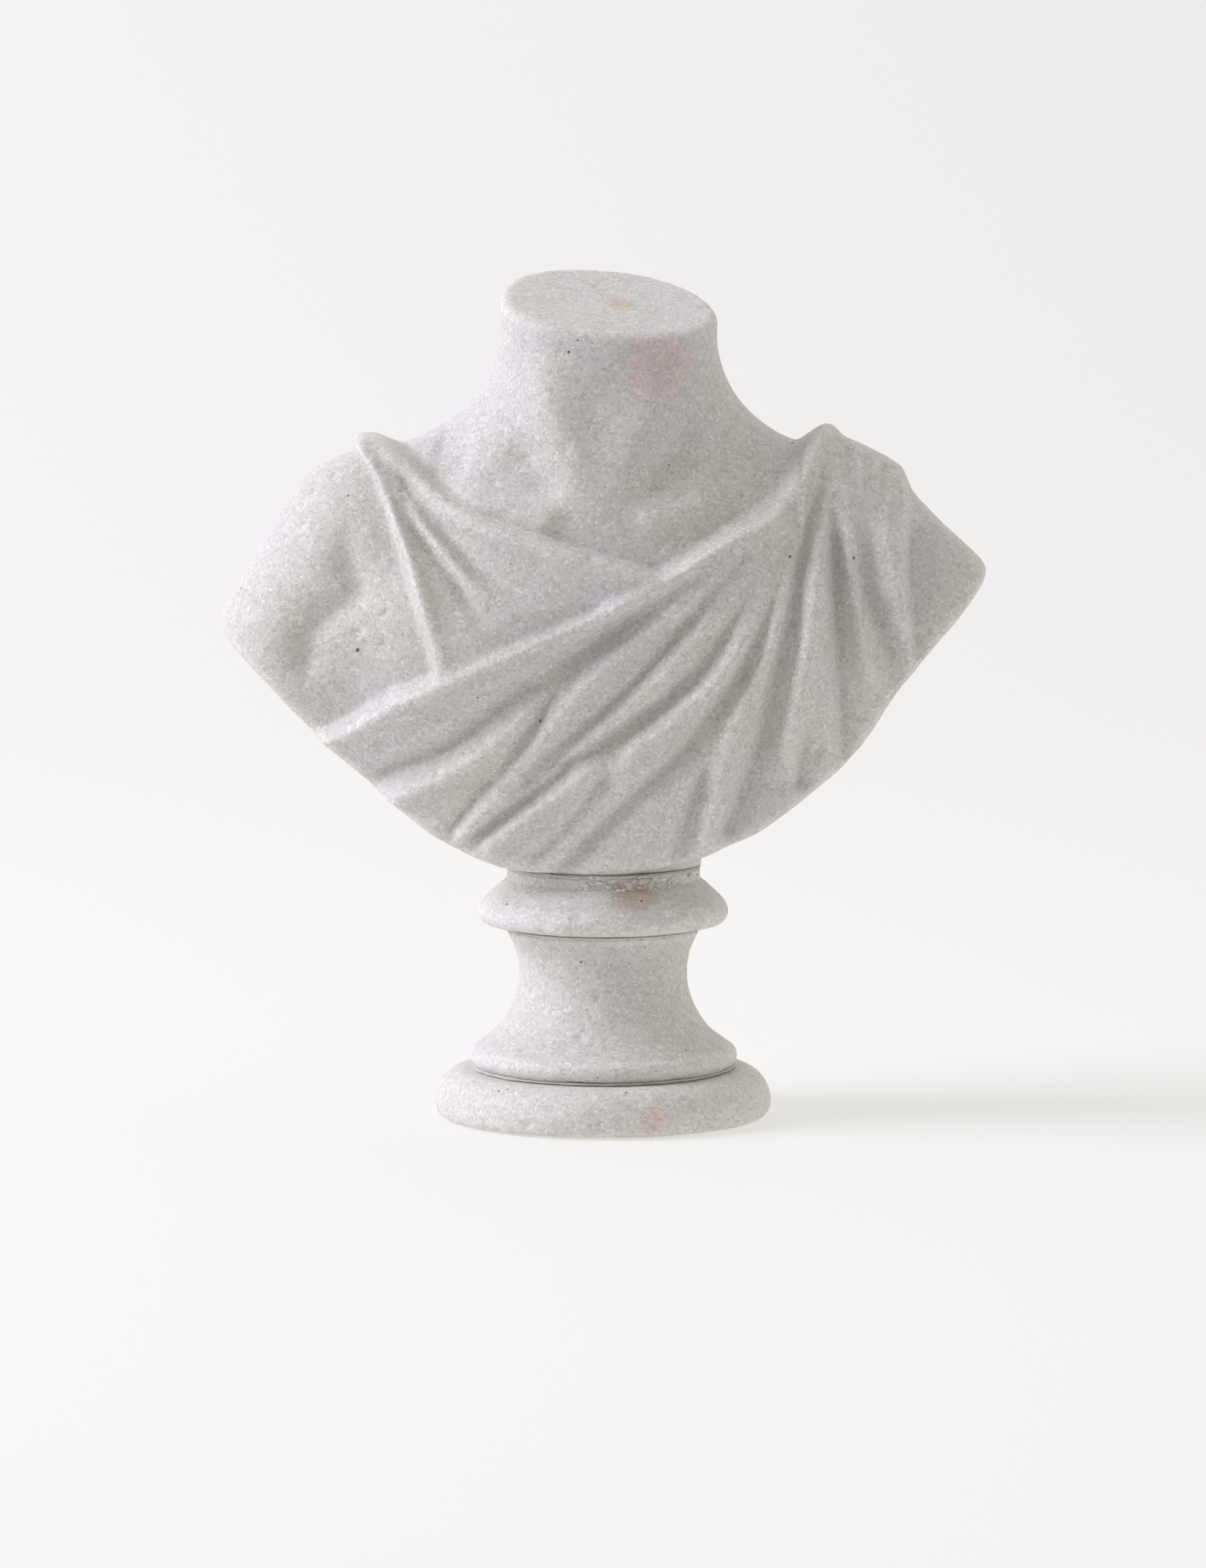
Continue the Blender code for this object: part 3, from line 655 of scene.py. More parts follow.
def lathe_tree() -> bpy.types.NodeTree:
    """Builds the lathe: it turns a closed outline in the XZ plane about the Z axis.

    Returns:
        A tree with the inputs Segments and Samples.
    """
    made = TreeBuilder("lathe", {}, {"Segments": 96, "Samples": 120})
    outline = made.node("GeometryNodeMeshToCurve", Mesh=made.given["Geometry"])
    columns = made.math("ADD", made.given["Segments"], 1.0)
    rows = made.math("ADD", made.given["Samples"], 1.0)
    grid = made.node("GeometryNodeMeshGrid", Size_X=1.0, Size_Y=1.0, Vertices_X=columns,
                     Vertices_Y=rows)
    share = made.node("ShaderNodeSeparateXYZ", in0=grid.outputs["UV Map"])
    sample = made.node("GeometryNodeSampleCurve", {"mode": "FACTOR", "use_all_curves": True},
                       Curves=outline.outputs[0], Factor=share.outputs[1])
    at = made.node("ShaderNodeSeparateXYZ", in0=sample.outputs["Position"])
    angle = made.math("MULTIPLY", share.outputs[0], 2 * math.pi)
    x = made.math("MULTIPLY", at.outputs[0], made.math("COSINE", angle))
    y = made.math("MULTIPLY", at.outputs[0], made.math("SINE", angle))
    place = made.node("ShaderNodeCombineXYZ", in0=x, in1=y, in2=at.outputs[2])
    turned = made.node("GeometryNodeSetPosition", Geometry=grid.outputs[0],
                       Position=place.outputs[0])
    return made.close(turned.outputs[0])


def thread_tree() -> bpy.types.NodeTree:
    """Builds the die: it cuts one helical thread on a round rod with chamfered ends.

    Returns:
        A tree with the inputs Bottom, Length, Radius, Depth, Pitch, Segments and Rings.
    """
    made = TreeBuilder(
        "thread",
        {"Bottom": 0.0, "Length": 0.1, "Radius": 0.004, "Depth": 0.0006, "Pitch": 0.00125},
        {"Segments": 24, "Rings": 900},
    )
    given = made.given
    grid = made.node("GeometryNodeMeshGrid", Size_X=1.0, Size_Y=1.0,
                     Vertices_X=made.math("ADD", given["Segments"], 1.0),
                     Vertices_Y=made.math("ADD", given["Rings"], 1.0))
    share = made.node("ShaderNodeSeparateXYZ", in0=grid.outputs["UV Map"])
    rise = made.math("MULTIPLY", share.outputs[1], given["Length"])
    turns = made.math("SUBTRACT", made.math("DIVIDE", rise, given["Pitch"]), share.outputs[0])
    wave = made.math("PINGPONG", turns, 0.5)
    root = made.math("SUBTRACT", given["Radius"], given["Depth"])
    crest = made.math("MULTIPLY_ADD", made.math("MULTIPLY", wave, 2.0), given["Depth"], root)
    # The chamfer: the radius may not pass the root by more than the distance to the nearest end.
    left = made.math("SUBTRACT", given["Length"], rise)
    end = made.math("MINIMUM", rise, left)
    chamfered = made.math("MINIMUM", crest, made.math("ADD", root, end))
    capped = made.math("MULTIPLY", chamfered, made.math("GREATER_THAN", end, 1e-7))
    angle = made.math("MULTIPLY", share.outputs[0], 2 * math.pi)
    place = made.node(
        "ShaderNodeCombineXYZ",
        in0=made.math("MULTIPLY", capped, made.math("COSINE", angle)),
        in1=made.math("MULTIPLY", capped, made.math("SINE", angle)),
        in2=made.math("ADD", given["Bottom"], rise),
    )
    cut = made.node("GeometryNodeSetPosition", Geometry=grid.outputs[0],
                    Position=place.outputs[0])
    return made.close(cut.outputs[0])


def grown(tree: bpy.types.NodeTree, inputs: dict[str, Any], finish: bpy.types.Material,
          outline: Sequence[Point2] = ()) -> bpy.types.Mesh:
    """Runs a tree once and gives its result as a plain mesh with its faces outwards.

    Args:
        tree: The Geometry Nodes tree.
        inputs: Values for its named inputs.
        finish: The material for its Finish input.
        outline: A closed outline of (radius, height) points, as the tree's own geometry.

    Returns:
        The plain mesh.
    """
    seed = bpy.data.meshes.new(f"{tree.name} outline")
    count = len(outline)
    seed.from_pydata([(r, 0.0, z) for r, z in outline],
                     [(i, (i + 1) % count) for i in range(count)], [])
    holder = bpy.data.objects.new(f"{tree.name} holder", seed)
    bpy.context.scene.collection.objects.link(holder)
    modifier = holder.modifiers.new("tree", "NODES")
    modifier.node_group = tree
    identifiers = {item.name: item.identifier for item in tree.interface.items_tree
                   if item.in_out == "INPUT"}
    for name, value in {**inputs, "Finish": finish}.items():
        modifier[identifiers[name]] = value
    evaluated = holder.evaluated_get(bpy.context.evaluated_depsgraph_get())
    mesh = bpy.data.meshes.new_from_object(evaluated)
    bpy.data.objects.remove(holder)
    outward_mesh(mesh)
    return mesh


# =============================================================================================
# The sculpt's own forms, in millimetres above the seat
# =============================================================================================
@dataclass(frozen=True)
class Mass:
    """A rounded mass of the torso."""

    centre: Point3
    radii: Point3

    def field(self, x: Array, y: Array, z: Array) -> Array:
        """Near distance to the mass's surface, negative inside."""
        offsets = [(p - c) / r for p, c, r in zip((x, y, z), self.centre, self.radii)]
        scaled = np.sqrt(sum(o * o for o in offsets))
        slope = np.sqrt(sum((o / r) ** 2 for o, r in zip(offsets, self.radii)))
        return scaled * (scaled - 1) / np.maximum(slope, 1e-6)


@dataclass(frozen=True)
class Limb:
    """A tapered limb with round ends."""

    start: Point3
    start_radius: float
    end: Point3
    end_radius: float

    def field(self, x: Array, y: Array, z: Array) -> Array:
        """Distance to the limb's surface, negative inside."""
        along = np.subtract(self.end, self.start)
        px, py, pz = (p - s for p, s in zip((x, y, z), self.start))
        t = np.clip((px * along[0] + py * along[1] + pz * along[2]) / (along @ along), 0, 1)
        away = np.sqrt((px - t * along[0]) ** 2 + (py - t * along[1]) ** 2
                       + (pz - t * along[2]) ** 2)
        return away - (self.start_radius + (self.end_radius - self.start_radius) * t)


@dataclass(frozen=True)
class Fold:
    """A line in a side: a valley where its depth is positive, a ridge where it is negative."""

    line: tuple[Point2, ...]
    half_width: float
    depth: float
    fade_in: float = 0.0
    fade_out: float = 0.0


class Side(Enum):
    """The two sides that the drapery is drawn on."""

    FRONT = "front"
    BACK = "back"


def blend_in(first: Array, second: Array, width: float) -> Array:
    """Union of two fields with a soft fillet of the given width."""
    near = np.maximum(width - np.abs(first - second), 0.0) / width
    return np.minimum(first, second) - near * near * width / 4


def blend_cut(first: Array, second: Array, width: float) -> Array:
    """Common part of two fields, with its edge rounded over the given width."""
    return -blend_in(-first, -second, width)


def height_above(points: Sequence[Point2], x: Array, z: Array) -> Array:
    """Distance to a curve that runs from left to right, positive above it."""
    samples = smooth_curve(points, 10)
    samples = samples[np.argsort(samples[:, 0])]
    line = np.interp(x, samples[:, 0], samples[:, 1])
    slope = np.interp(x, samples[:, 0], np.gradient(samples[:, 1], samples[:, 0]))
    return (z - line) / np.sqrt(1 + slope * slope)


def right_of(points: Sequence[Point2], x: Array, z: Array) -> Array:
    """Distance to a curve that runs up and down, positive to its right."""
    samples = smooth_curve(points, 10)
    samples = samples[np.argsort(samples[:, 1])]
    return x - np.interp(z, samples[:, 1], samples[:, 0])


def bump_at(value: Array, middle: float, width: float) -> Array:
    """A soft bump of height 1 about a middle."""
    return np.exp(-((value - middle) / width) ** 2)


@dataclass
class Relief:
    """What is carved into one side: hems, folds and the anatomy under bare skin.

    It is a table over X and height, read between its points.
    """

    side: Side
    step: float = 0.8
    low: Point2 = (-140.0, -10.0)
    high: Point2 = (140.0, 208.0)
    cloak_thickness: float = 3.3
    hem_width: float = 7.0
    hem_roll: float = 3.3
    sleeve_softness: float = 3.8
    tunic_thickness: float = 3.2
    neckline_softness: float = 3.4
    neckline_roll: float = 2.1
    strap_softness: float = 4.6
    strap_roll: float = 0.7
    # How much wider a valley is on one side than on the other: the folds lean over that way.
    lean: float = 0.42
    # The share of the body's grooves and swells that shows through the cloth.
    body_through_cloth: float = 0.3
    table: Array = field(init=False)

    cloak_hem: tuple[Point2, ...] = (
        (132, 210), (90, 175), (74, 156), (66, 145), (63, 138.5), (57.5, 131), (50, 122),
        (40, 116.5), (30, 110.5), (20, 104), (10, 98.5), (-10, 88.5), (-30, 79.5), (-50, 70.5),
        (-70, 62), (-90, 50), (-110, 40), (-132, 30),
    )
    necklines: dict[Side, tuple[Point2, ...]] = field(default_factory=lambda: {
        Side.FRONT: ((-90, 160), (-74, 146), (-64, 137), (-57.5, 130.5), (-50, 124.5),
                     (-40, 119.5), (-30, 116), (-20, 113), (-8, 108.5), (4, 105), (11, 103),
                     (40, 94)),
        Side.BACK: ((-90, 162), (-74, 144), (-50, 131), (-10, 123), (40, 118), (80, 118)),
    })
    straps: dict[Side, tuple[Point2, ...]] = field(default_factory=lambda: {
        Side.FRONT: ((-87, 146), (-82, 139), (-74, 128), (-67, 108), (-61, 87), (-56, 70)),
        Side.BACK: ((-87, 146), (-83, 139), (-78, 120), (-76, 96), (-80, 70), (-86, 56)),
    })
    sleeve_edge: tuple[Point2, ...] = ((101, 145), (100, 134), (100, 124), (99, 99), (101, 77),
                                       (103, 60))

    def __post_init__(self) -> None:
        """Carves the table."""
        x, z = np.meshgrid(np.arange(self.low[0], self.high[0], self.step),
                           np.arange(self.low[1], self.high[1], self.step), indexing="ij")
        hem = height_above(self.cloak_hem, x, z)
        neckline = height_above(self.necklines[self.side], x, z)
        strap = right_of(self.straps[self.side], x, z)
        sleeve = -right_of(self.sleeve_edge, x, z)
        over = ramp(0.25 - hem / self.hem_width)
        cloak = over * ramp(0.5 + sleeve / self.sleeve_softness)
        tunic = (ramp(0.5 - neckline / self.neckline_softness)
                 * ramp(0.5 + strap / self.strap_softness) * (1 - over))
        valleys, ridges = self._carve(FOLDS[self.side], x, z, self.lean)
        cloth = valleys - ridges
        # The hem is turned over: it swells to its thickest a few millimetres below its edge.
        roll = self.hem_roll * bump_at(hem, -5.6, 4.6)
        table = cloak * (cloth - self.cloak_thickness - roll)
        edge = (self.neckline_roll * bump_at(neckline, -3.8, 3.4)
                + self.strap_roll * bump_at(strap, 3.4, 3.0))
        table += tunic * (cloth - self.tunic_thickness - np.minimum(edge, self.neckline_roll))
        bare = 1 - np.clip(cloak + tunic, 0, 1)
        grooves, swells = self._carve(ANATOMY[self.side], x, z, 0.0)
        through = self.body_through_cloth
        self.table = table + (through + (1 - through) * bare) * (grooves - swells)

    @staticmethod
    def _carve(folds: Sequence[Fold], x: Array, z: Array,
               lean: float) -> tuple[Array, Array]:
        """Carves lines into a flat sheet.

        Args:
            folds: The lines.
            x: Where to carve, across.
            z: Where to carve, up.
            lean: How much a valley's two sides differ, from 0 to 1.

        Returns:
            How deep the valleys are and how high the ridges stand.
        """
        valleys, ridges = np.zeros_like(x), np.zeros_like(x)
        for fold in folds:
            samples = smooth_curve(fold.line, 10)
            steps = np.linalg.norm(np.diff(samples, axis=0), axis=1)
            starts = np.concatenate([[0], np.cumsum(steps)])
            best, along = np.full(x.shape, np.inf), np.zeros_like(x)
            side = np.zeros_like(x)
            for (ax, az), (bx, bz), start, length in zip(samples, samples[1:], starts, steps):
                dx, dz = bx - ax, bz - az
                t = np.clip(((x - ax) * dx + (z - az) * dz) / (length * length), 0, 1)
                away = (x - ax - t * dx) ** 2 + (z - az - t * dz) ** 2
                nearer = away < best
                best = np.where(nearer, away, best)
                along = np.where(nearer, (start + t * length) / starts[-1], along)
                across = ((z - az) * dx - (x - ax) * dz) / length
                side = np.where(nearer, across, side)
            strength = np.ones_like(x)
            if fold.fade_in:
                strength *= ramp(along / fold.fade_in)
            if fold.fade_out:
                strength *= ramp((1 - along) / fold.fade_out)
            width = fold.half_width * (0.55 + 0.45 * strength)
            if fold.depth > 0:
                width = width * (1 + lean * np.tanh(side / fold.half_width))
                cut = fold.depth * strength / (1 + best / width**2) ** 1.6
                # Two valleys that meet are as deep as the deeper one, with a soft crossing.
                valleys = np.maximum(valleys, cut) + 0.25 * np.minimum(valleys, cut)
            else:
                height = RIDGE_SHARE * fold.depth * strength
                ridges -= height * np.exp(-best / fold.half_width**2)
        return valleys, ridges

    def read(self, x: Array, z: Array) -> Array:
        """The relief at any points, between the table's own."""
        across = np.clip((x - self.low[0]) / self.step, 0, self.table.shape[0] - 1.001)
        up = np.clip((z - self.low[1]) / self.step, 0, self.table.shape[1] - 1.001)
        i, j = across.astype(int), up.astype(int)
        u, v = across - i, up - j
        low = self.table[i, j] * (1 - u) + self.table[i + 1, j] * u
        high = self.table[i, j + 1] * (1 - u) + self.table[i + 1, j + 1] * u
        return low * (1 - v) + high * v


# A ridge stands this many times as high as its fold's depth says.
RIDGE_SHARE = 1.6

# The folds fall from the cloak's gather on the right shoulder, (72, 138), across the chest and
# the back, and spread as they go.
FOLDS: dict[Side, tuple[Fold, ...]] = {
    Side.FRONT: (
        Fold(((62, 126), (48, 118)), 2.1, 1, 0.3, 0.4),
        Fold(((-6, 86), (-22, 75), (-50, 63.5), (-60, 61)), 2.4, 1, 0.3, 0.4),
        Fold(((50, 114.5), (25, 96.5), (0, 78.5), (-30, 60), (-50, 44.5), (-70, 35), (-80, 28)),
              6, 4.4, 0.35),
        Fold(((-4, 74), (-13.5, 65.5), (-33, 35), (-38.5, 29.5), (-54, 10)), 4.5, 4.1, 0.3),
        Fold(((52, 110), (40, 100.5), (23, 79.5), (10, 64.5), (-4.5, 51), (-20, 38.5), (-31, 23),
              (-36, 19)), 4.5, 3.6, 0.35, 0.15),
        Fold(((56, 108), (35, 74.5), (25, 63), (10, 51.5), (-10, 39), (-15, 33.5), (-35, 18.5),
              (-52, 6)), 4.3, 4.5, 0.35),
        Fold(((6, 43), (-9, 21.5), (-17, 12), (-23, 7)), 3.4, 2.2, 0.35),
        Fold(((62.5, 116), (54, 88.5), (45, 67.5), (30, 47), (14.5, 31.5), (0, 17.5), (-13, 3)),
              4.3, 4.5, 0.35),
        Fold(((36, 46), (27.5, 20.5), (23, 6)), 4, 3.8, 0.45),
        Fold(((73, 136), (66, 112), (59.5, 78.5), (56, 63), (51.5, 45.5), (41, 16)), 4.5, 5.1,
              0.3),
        Fold(((68, 56), (63, 26)), 3.7, 3.2, 0.5, 0.2),
        Fold(((74.5, 130), (75, 111.5), (76.5, 78.5), (79.5, 40)), 4.5, 5.8, 0.3),
        Fold(((80, 122), (82.5, 113.5), (85, 97.5), (92.5, 78), (97, 60)), 4.8, 2.7, 0.35),
        Fold(((80, 142), (81, 124)), 2.8, 1.8, 0.2, 0.6),
        Fold(((86, 140), (87, 120)), 2.8, 1.8, 0.2, 0.6),
        Fold(((92, 137), (90, 118)), 2.8, 1.8, 0.2, 0.6),
        Fold(((-78, 138), (-65, 118), (-50, 99), (-37, 79)), 4, 2.7, 0.2, 0.3),
        Fold(((-72, 138), (-56.5, 117), (-46.5, 106), (-40, 100), (-21, 90)), 4.3, 2.7, 0.2, 0.4),
        Fold(((-14, 65), (-30, 50), (-50, 35), (-65, 27.5), (-72, 23)), 4, -2.1, 0.3),
        Fold(((45, 109.5), (30, 96), (10, 79.5), (-10, 60), (-35, 29.5), (-47, 14)), 4, -2.2,
              0.3),
        Fold(((40, 95), (20, 69), (0, 51), (-16, 36)), 3.3, -1.8, 0.3, 0.2),
        Fold(((52, 90), (47.5, 85), (39, 69.5), (20, 50.5), (10, 42.5), (3.5, 30.5)), 3.5, -2,
              0.3, 0.2),
        Fold(((2, 43), (-10, 32.5), (-38.5, 11)), 3.7, -2, 0.3),
        Fold(((62.5, 108), (55, 81), (44, 55), (40, 43), (34, 12)), 3.5, -1.7, 0.3),
        Fold(((72, 124), (68.5, 95.5), (66.5, 77), (63, 58), (57, 30)), 4.2, -2.5, 0.3, 0.2),
        Fold(((78, 125.5), (82.5, 87), (88, 58)), 3.1, -1.7, 0.3, 0.2),
        Fold(((90, 128), (91.5, 124), (95, 100), (99, 76)), 4.4, -2, 0.3, 0.2),
        Fold(((-82, 139), (-73.5, 122), (-63.5, 99), (-60.5, 90.5), (-57.5, 74.5)), 4.4, -1.9, 0,
              0.35),
        Fold(((-66, 124), (-58, 113), (-36, 87)), 2.6, -1.3, 0.3, 0.4),
    ),
    Side.BACK: (
        Fold(((54, 118), (14, 92), (-30, 70), (-82, 46)), 4.6, 3.0, 0.35),
        Fold(((57, 116), (20, 84), (-20, 58), (-74, 34)), 3.4, 2.8, 0.4),
        Fold(((61, 113), (30, 78), (-8, 46), (-56, 20)), 3.6, 3.2, 0.35),
        Fold(((64, 112), (38, 70), (2, 36), (-34, 10)), 3.4, 3.0, 0.35),
        Fold(((68, 112), (48, 66), (20, 30), (-6, 4)), 3.6, 3.2, 0.35),
        Fold(((72, 114), (60, 66), (40, 30), (22, 6)), 3.2, 3.0, 0.4),
        Fold(((77, 116), (69, 72), (56, 36), (44, 14)), 3.4, 3.2, 0.35),
        Fold(((82, 118), (80, 80), (72, 50), (62, 24)), 3.0, 2.8, 0.4),
        Fold(((88, 120), (90, 86), (88, 60), (82, 40)), 3.2, 3.0, 0.35),
        Fold(((94, 116), (98, 88), (100, 66)), 2.6, 2.0, 0.4),
        Fold(((46, 118), (4, 96), (-36, 80), (-78, 62)), 3.4, -1.3, 0.4),
        Fold(((58, 112), (26, 84), (-14, 54), (-66, 28)), 4.0, -1.5, 0.4),
        Fold(((66, 110), (44, 70), (12, 36), (-20, 8)), 4.0, -1.5, 0.4),
        Fold(((74, 112), (64, 70), (48, 34), (34, 10)), 3.8, -1.5, 0.4),
        Fold(((85, 116), (84, 82), (78, 50), (70, 30)), 3.6, -1.4, 0.4),
        Fold(((-78, 136), (-62, 118), (-46, 106), (-20, 96)), 2.2, 1.5, 0.3, 0.4),
        Fold(((-74, 130), (-70, 110), (-62, 92), (-50, 80)), 2.2, 1.5, 0.3, 0.4),
    ),
}

# Grooves and swells of the body, under bare skin and faintly through the cloth.
ANATOMY: dict[Side, tuple[Fold, ...]] = {
    Side.FRONT: (
        Fold(((-82, 122), (-84.5, 110), (-83.5, 101), (-82, 93), (-91, 86), (-97, 78), (-99, 60)),
             8.0, 3.4, 0.35, 0.2),
        Fold(((-58, 141), (-42, 137)), 8.0, 1.8, 0.3, 0.3),
        Fold(((-33, 146), (-24, 134), (-12, 122)), 9.0, 2.3, 0.4, 0.35),
        Fold(((28, 146), (19, 134), (9, 122)), 8.5, 2.2, 0.4, 0.35),
        Fold(((-24, 172), (-15, 148), (-5, 126)), 7.0, -1.0, 0.35, 0.3),
        Fold(((24, 172), (13, 148), (1, 126)), 7.0, -0.9, 0.35, 0.3),
        Fold(((-12, 117), (-32, 121), (-58, 128)), 5.5, -1.7, 0.2, 0.4),
        Fold(((8, 116), (26, 122), (44, 129)), 5.5, -1.5, 0.2, 0.4),
        Fold(((100, 118), (101, 98), (103, 70)), 6.0, 1.6, 0.2, 0.1),
    ),
    Side.BACK: (
        Fold(((0, 168), (0, 140), (-1, 110)), 7.0, 1.8, 0.3, 0.3),
        Fold(((-30, 128), (-44, 108), (-40, 86)), 8.0, -2.0, 0.3, 0.4),
        Fold(((-79, 126), (-88, 100), (-96, 70)), 8.0, 3.4, 0.35, 0.2),
        Fold(((-22, 150), (-46, 138), (-70, 132)), 9.0, -1.4, 0.3, 0.4),
    ),
}


def without_pinches(inside: Array) -> Array:
    """Fills grid corners until no square of the grid has stone at two opposite corners only."""
    windows = (slice(None, -1), slice(1, None))
    while True:
        filled = inside.copy()
        for first, second in ((0, 1), (0, 2), (1, 2)):
            square = []
            for a, b in ((0, 0), (1, 1), (0, 1), (1, 0)):
                place = [slice(None)] * 3
                place[first], place[second] = windows[a], windows[b]
                square.append(tuple(place))
            p, q, r, s = (inside[place] for place in square)
            pinched = (p == q) & (r == s) & (p != r)
            for place in square:
                filled[place] |= pinched
        if (filled == inside).all():
            return inside
        inside = filled


def net_over(stone: Callable[..., Array], low: Point3, high: Point3,
             cell: float) -> tuple[Array, Array]:
    """Quads over a field's zero surface: one point in each cell that the surface crosses.

    Args:
        stone: The field, negative inside.
        low: The grid's lowest corner.
        high: The grid's highest corner.
        cell: The grid's step.

    Returns:
        The points and the quads, facing outwards.
    """
    axes = [np.arange(a, b, cell, dtype=np.float32) for a, b in zip(low, high)]
    values = stone(*np.meshgrid(*axes, indexing="ij"))
    inside = without_pinches(values < 0)
    values = np.where(inside, -np.abs(values), np.abs(values))
    corners = [(slice(i, i - 1 or None), slice(j, j - 1 or None), slice(k, k - 1 or None))
               for i in (0, 1) for j in (0, 1) for k in (0, 1)]
    count = sum(inside[c].astype(np.int8) for c in corners)
    crossed = (count > 0) & (count < len(corners))
    index = np.full(crossed.shape, -1)
    index[crossed] = np.arange(crossed.sum())
    cells = np.argwhere(crossed)

    total, hits = np.zeros((len(cells), 3)), np.zeros(len(cells))
    for axis in range(3):
        others = [a for a in range(3) if a != axis]
        for first in (0, 1):
            for second in (0, 1):
                start = cells.copy()
                start[:, others[0]] += first
                start[:, others[1]] += second
                end = start.copy()
                end[:, axis] += 1
                a, b = values[tuple(start.T)], values[tuple(end.T)]
                cut = np.signbit(a) != np.signbit(b)
                point = start.astype(float)
                point[cut, axis] += a[cut] / (a[cut] - b[cut])
                total[cut] += point[cut]
                hits += cut
    points = total / hits[:, None] * cell + np.array(low)

    quads = []
    for axis in range(3):
        before, after = [slice(None)] * 3, [slice(None)] * 3
        before[axis], after[axis] = slice(None, -1), slice(1, None)
        a, b = inside[tuple(before)], inside[tuple(after)]
        edges = np.argwhere(a != b)
        leaving = a[tuple(edges.T)]
        first, second = [c for c in range(3) if c != axis]
        around = []
        for step in ((0, 0), (1, 0), (1, 1), (0, 1)):
            place = edges.copy()
            place[:, first] -= step[0]
            place[:, second] -= step[1]
            around.append(index[tuple(place.T)])
        faces = np.stack(around, axis=1)
        flip = leaving if axis == 1 else ~leaving
        faces[flip] = faces[flip][:, ::-1]
        quads.append(faces)
    return points, np.vstack(quads)


def settled(stone: Callable[..., Array], points: Array, most: float, rounds: int) -> Array:
    """Moves points onto a field's surface along its slope.

    Args:
        stone: The field.
        points: The points to move.
        most: The most that a point may move along one axis in a round.
        rounds: How many times they are moved.

    Returns:
        The moved points.
    """
    nudge = 0.05
    for _ in range(rounds):
        value = stone(*points.T)
        slope = np.stack([stone(*(points + step).T) - value for step in np.eye(3) * nudge],
                         axis=1) / nudge
        steepness = np.maximum((slope**2).sum(axis=1), 0.05)
        points = points + np.clip(-slope * (value / steepness)[:, None], -most, most)
    return points


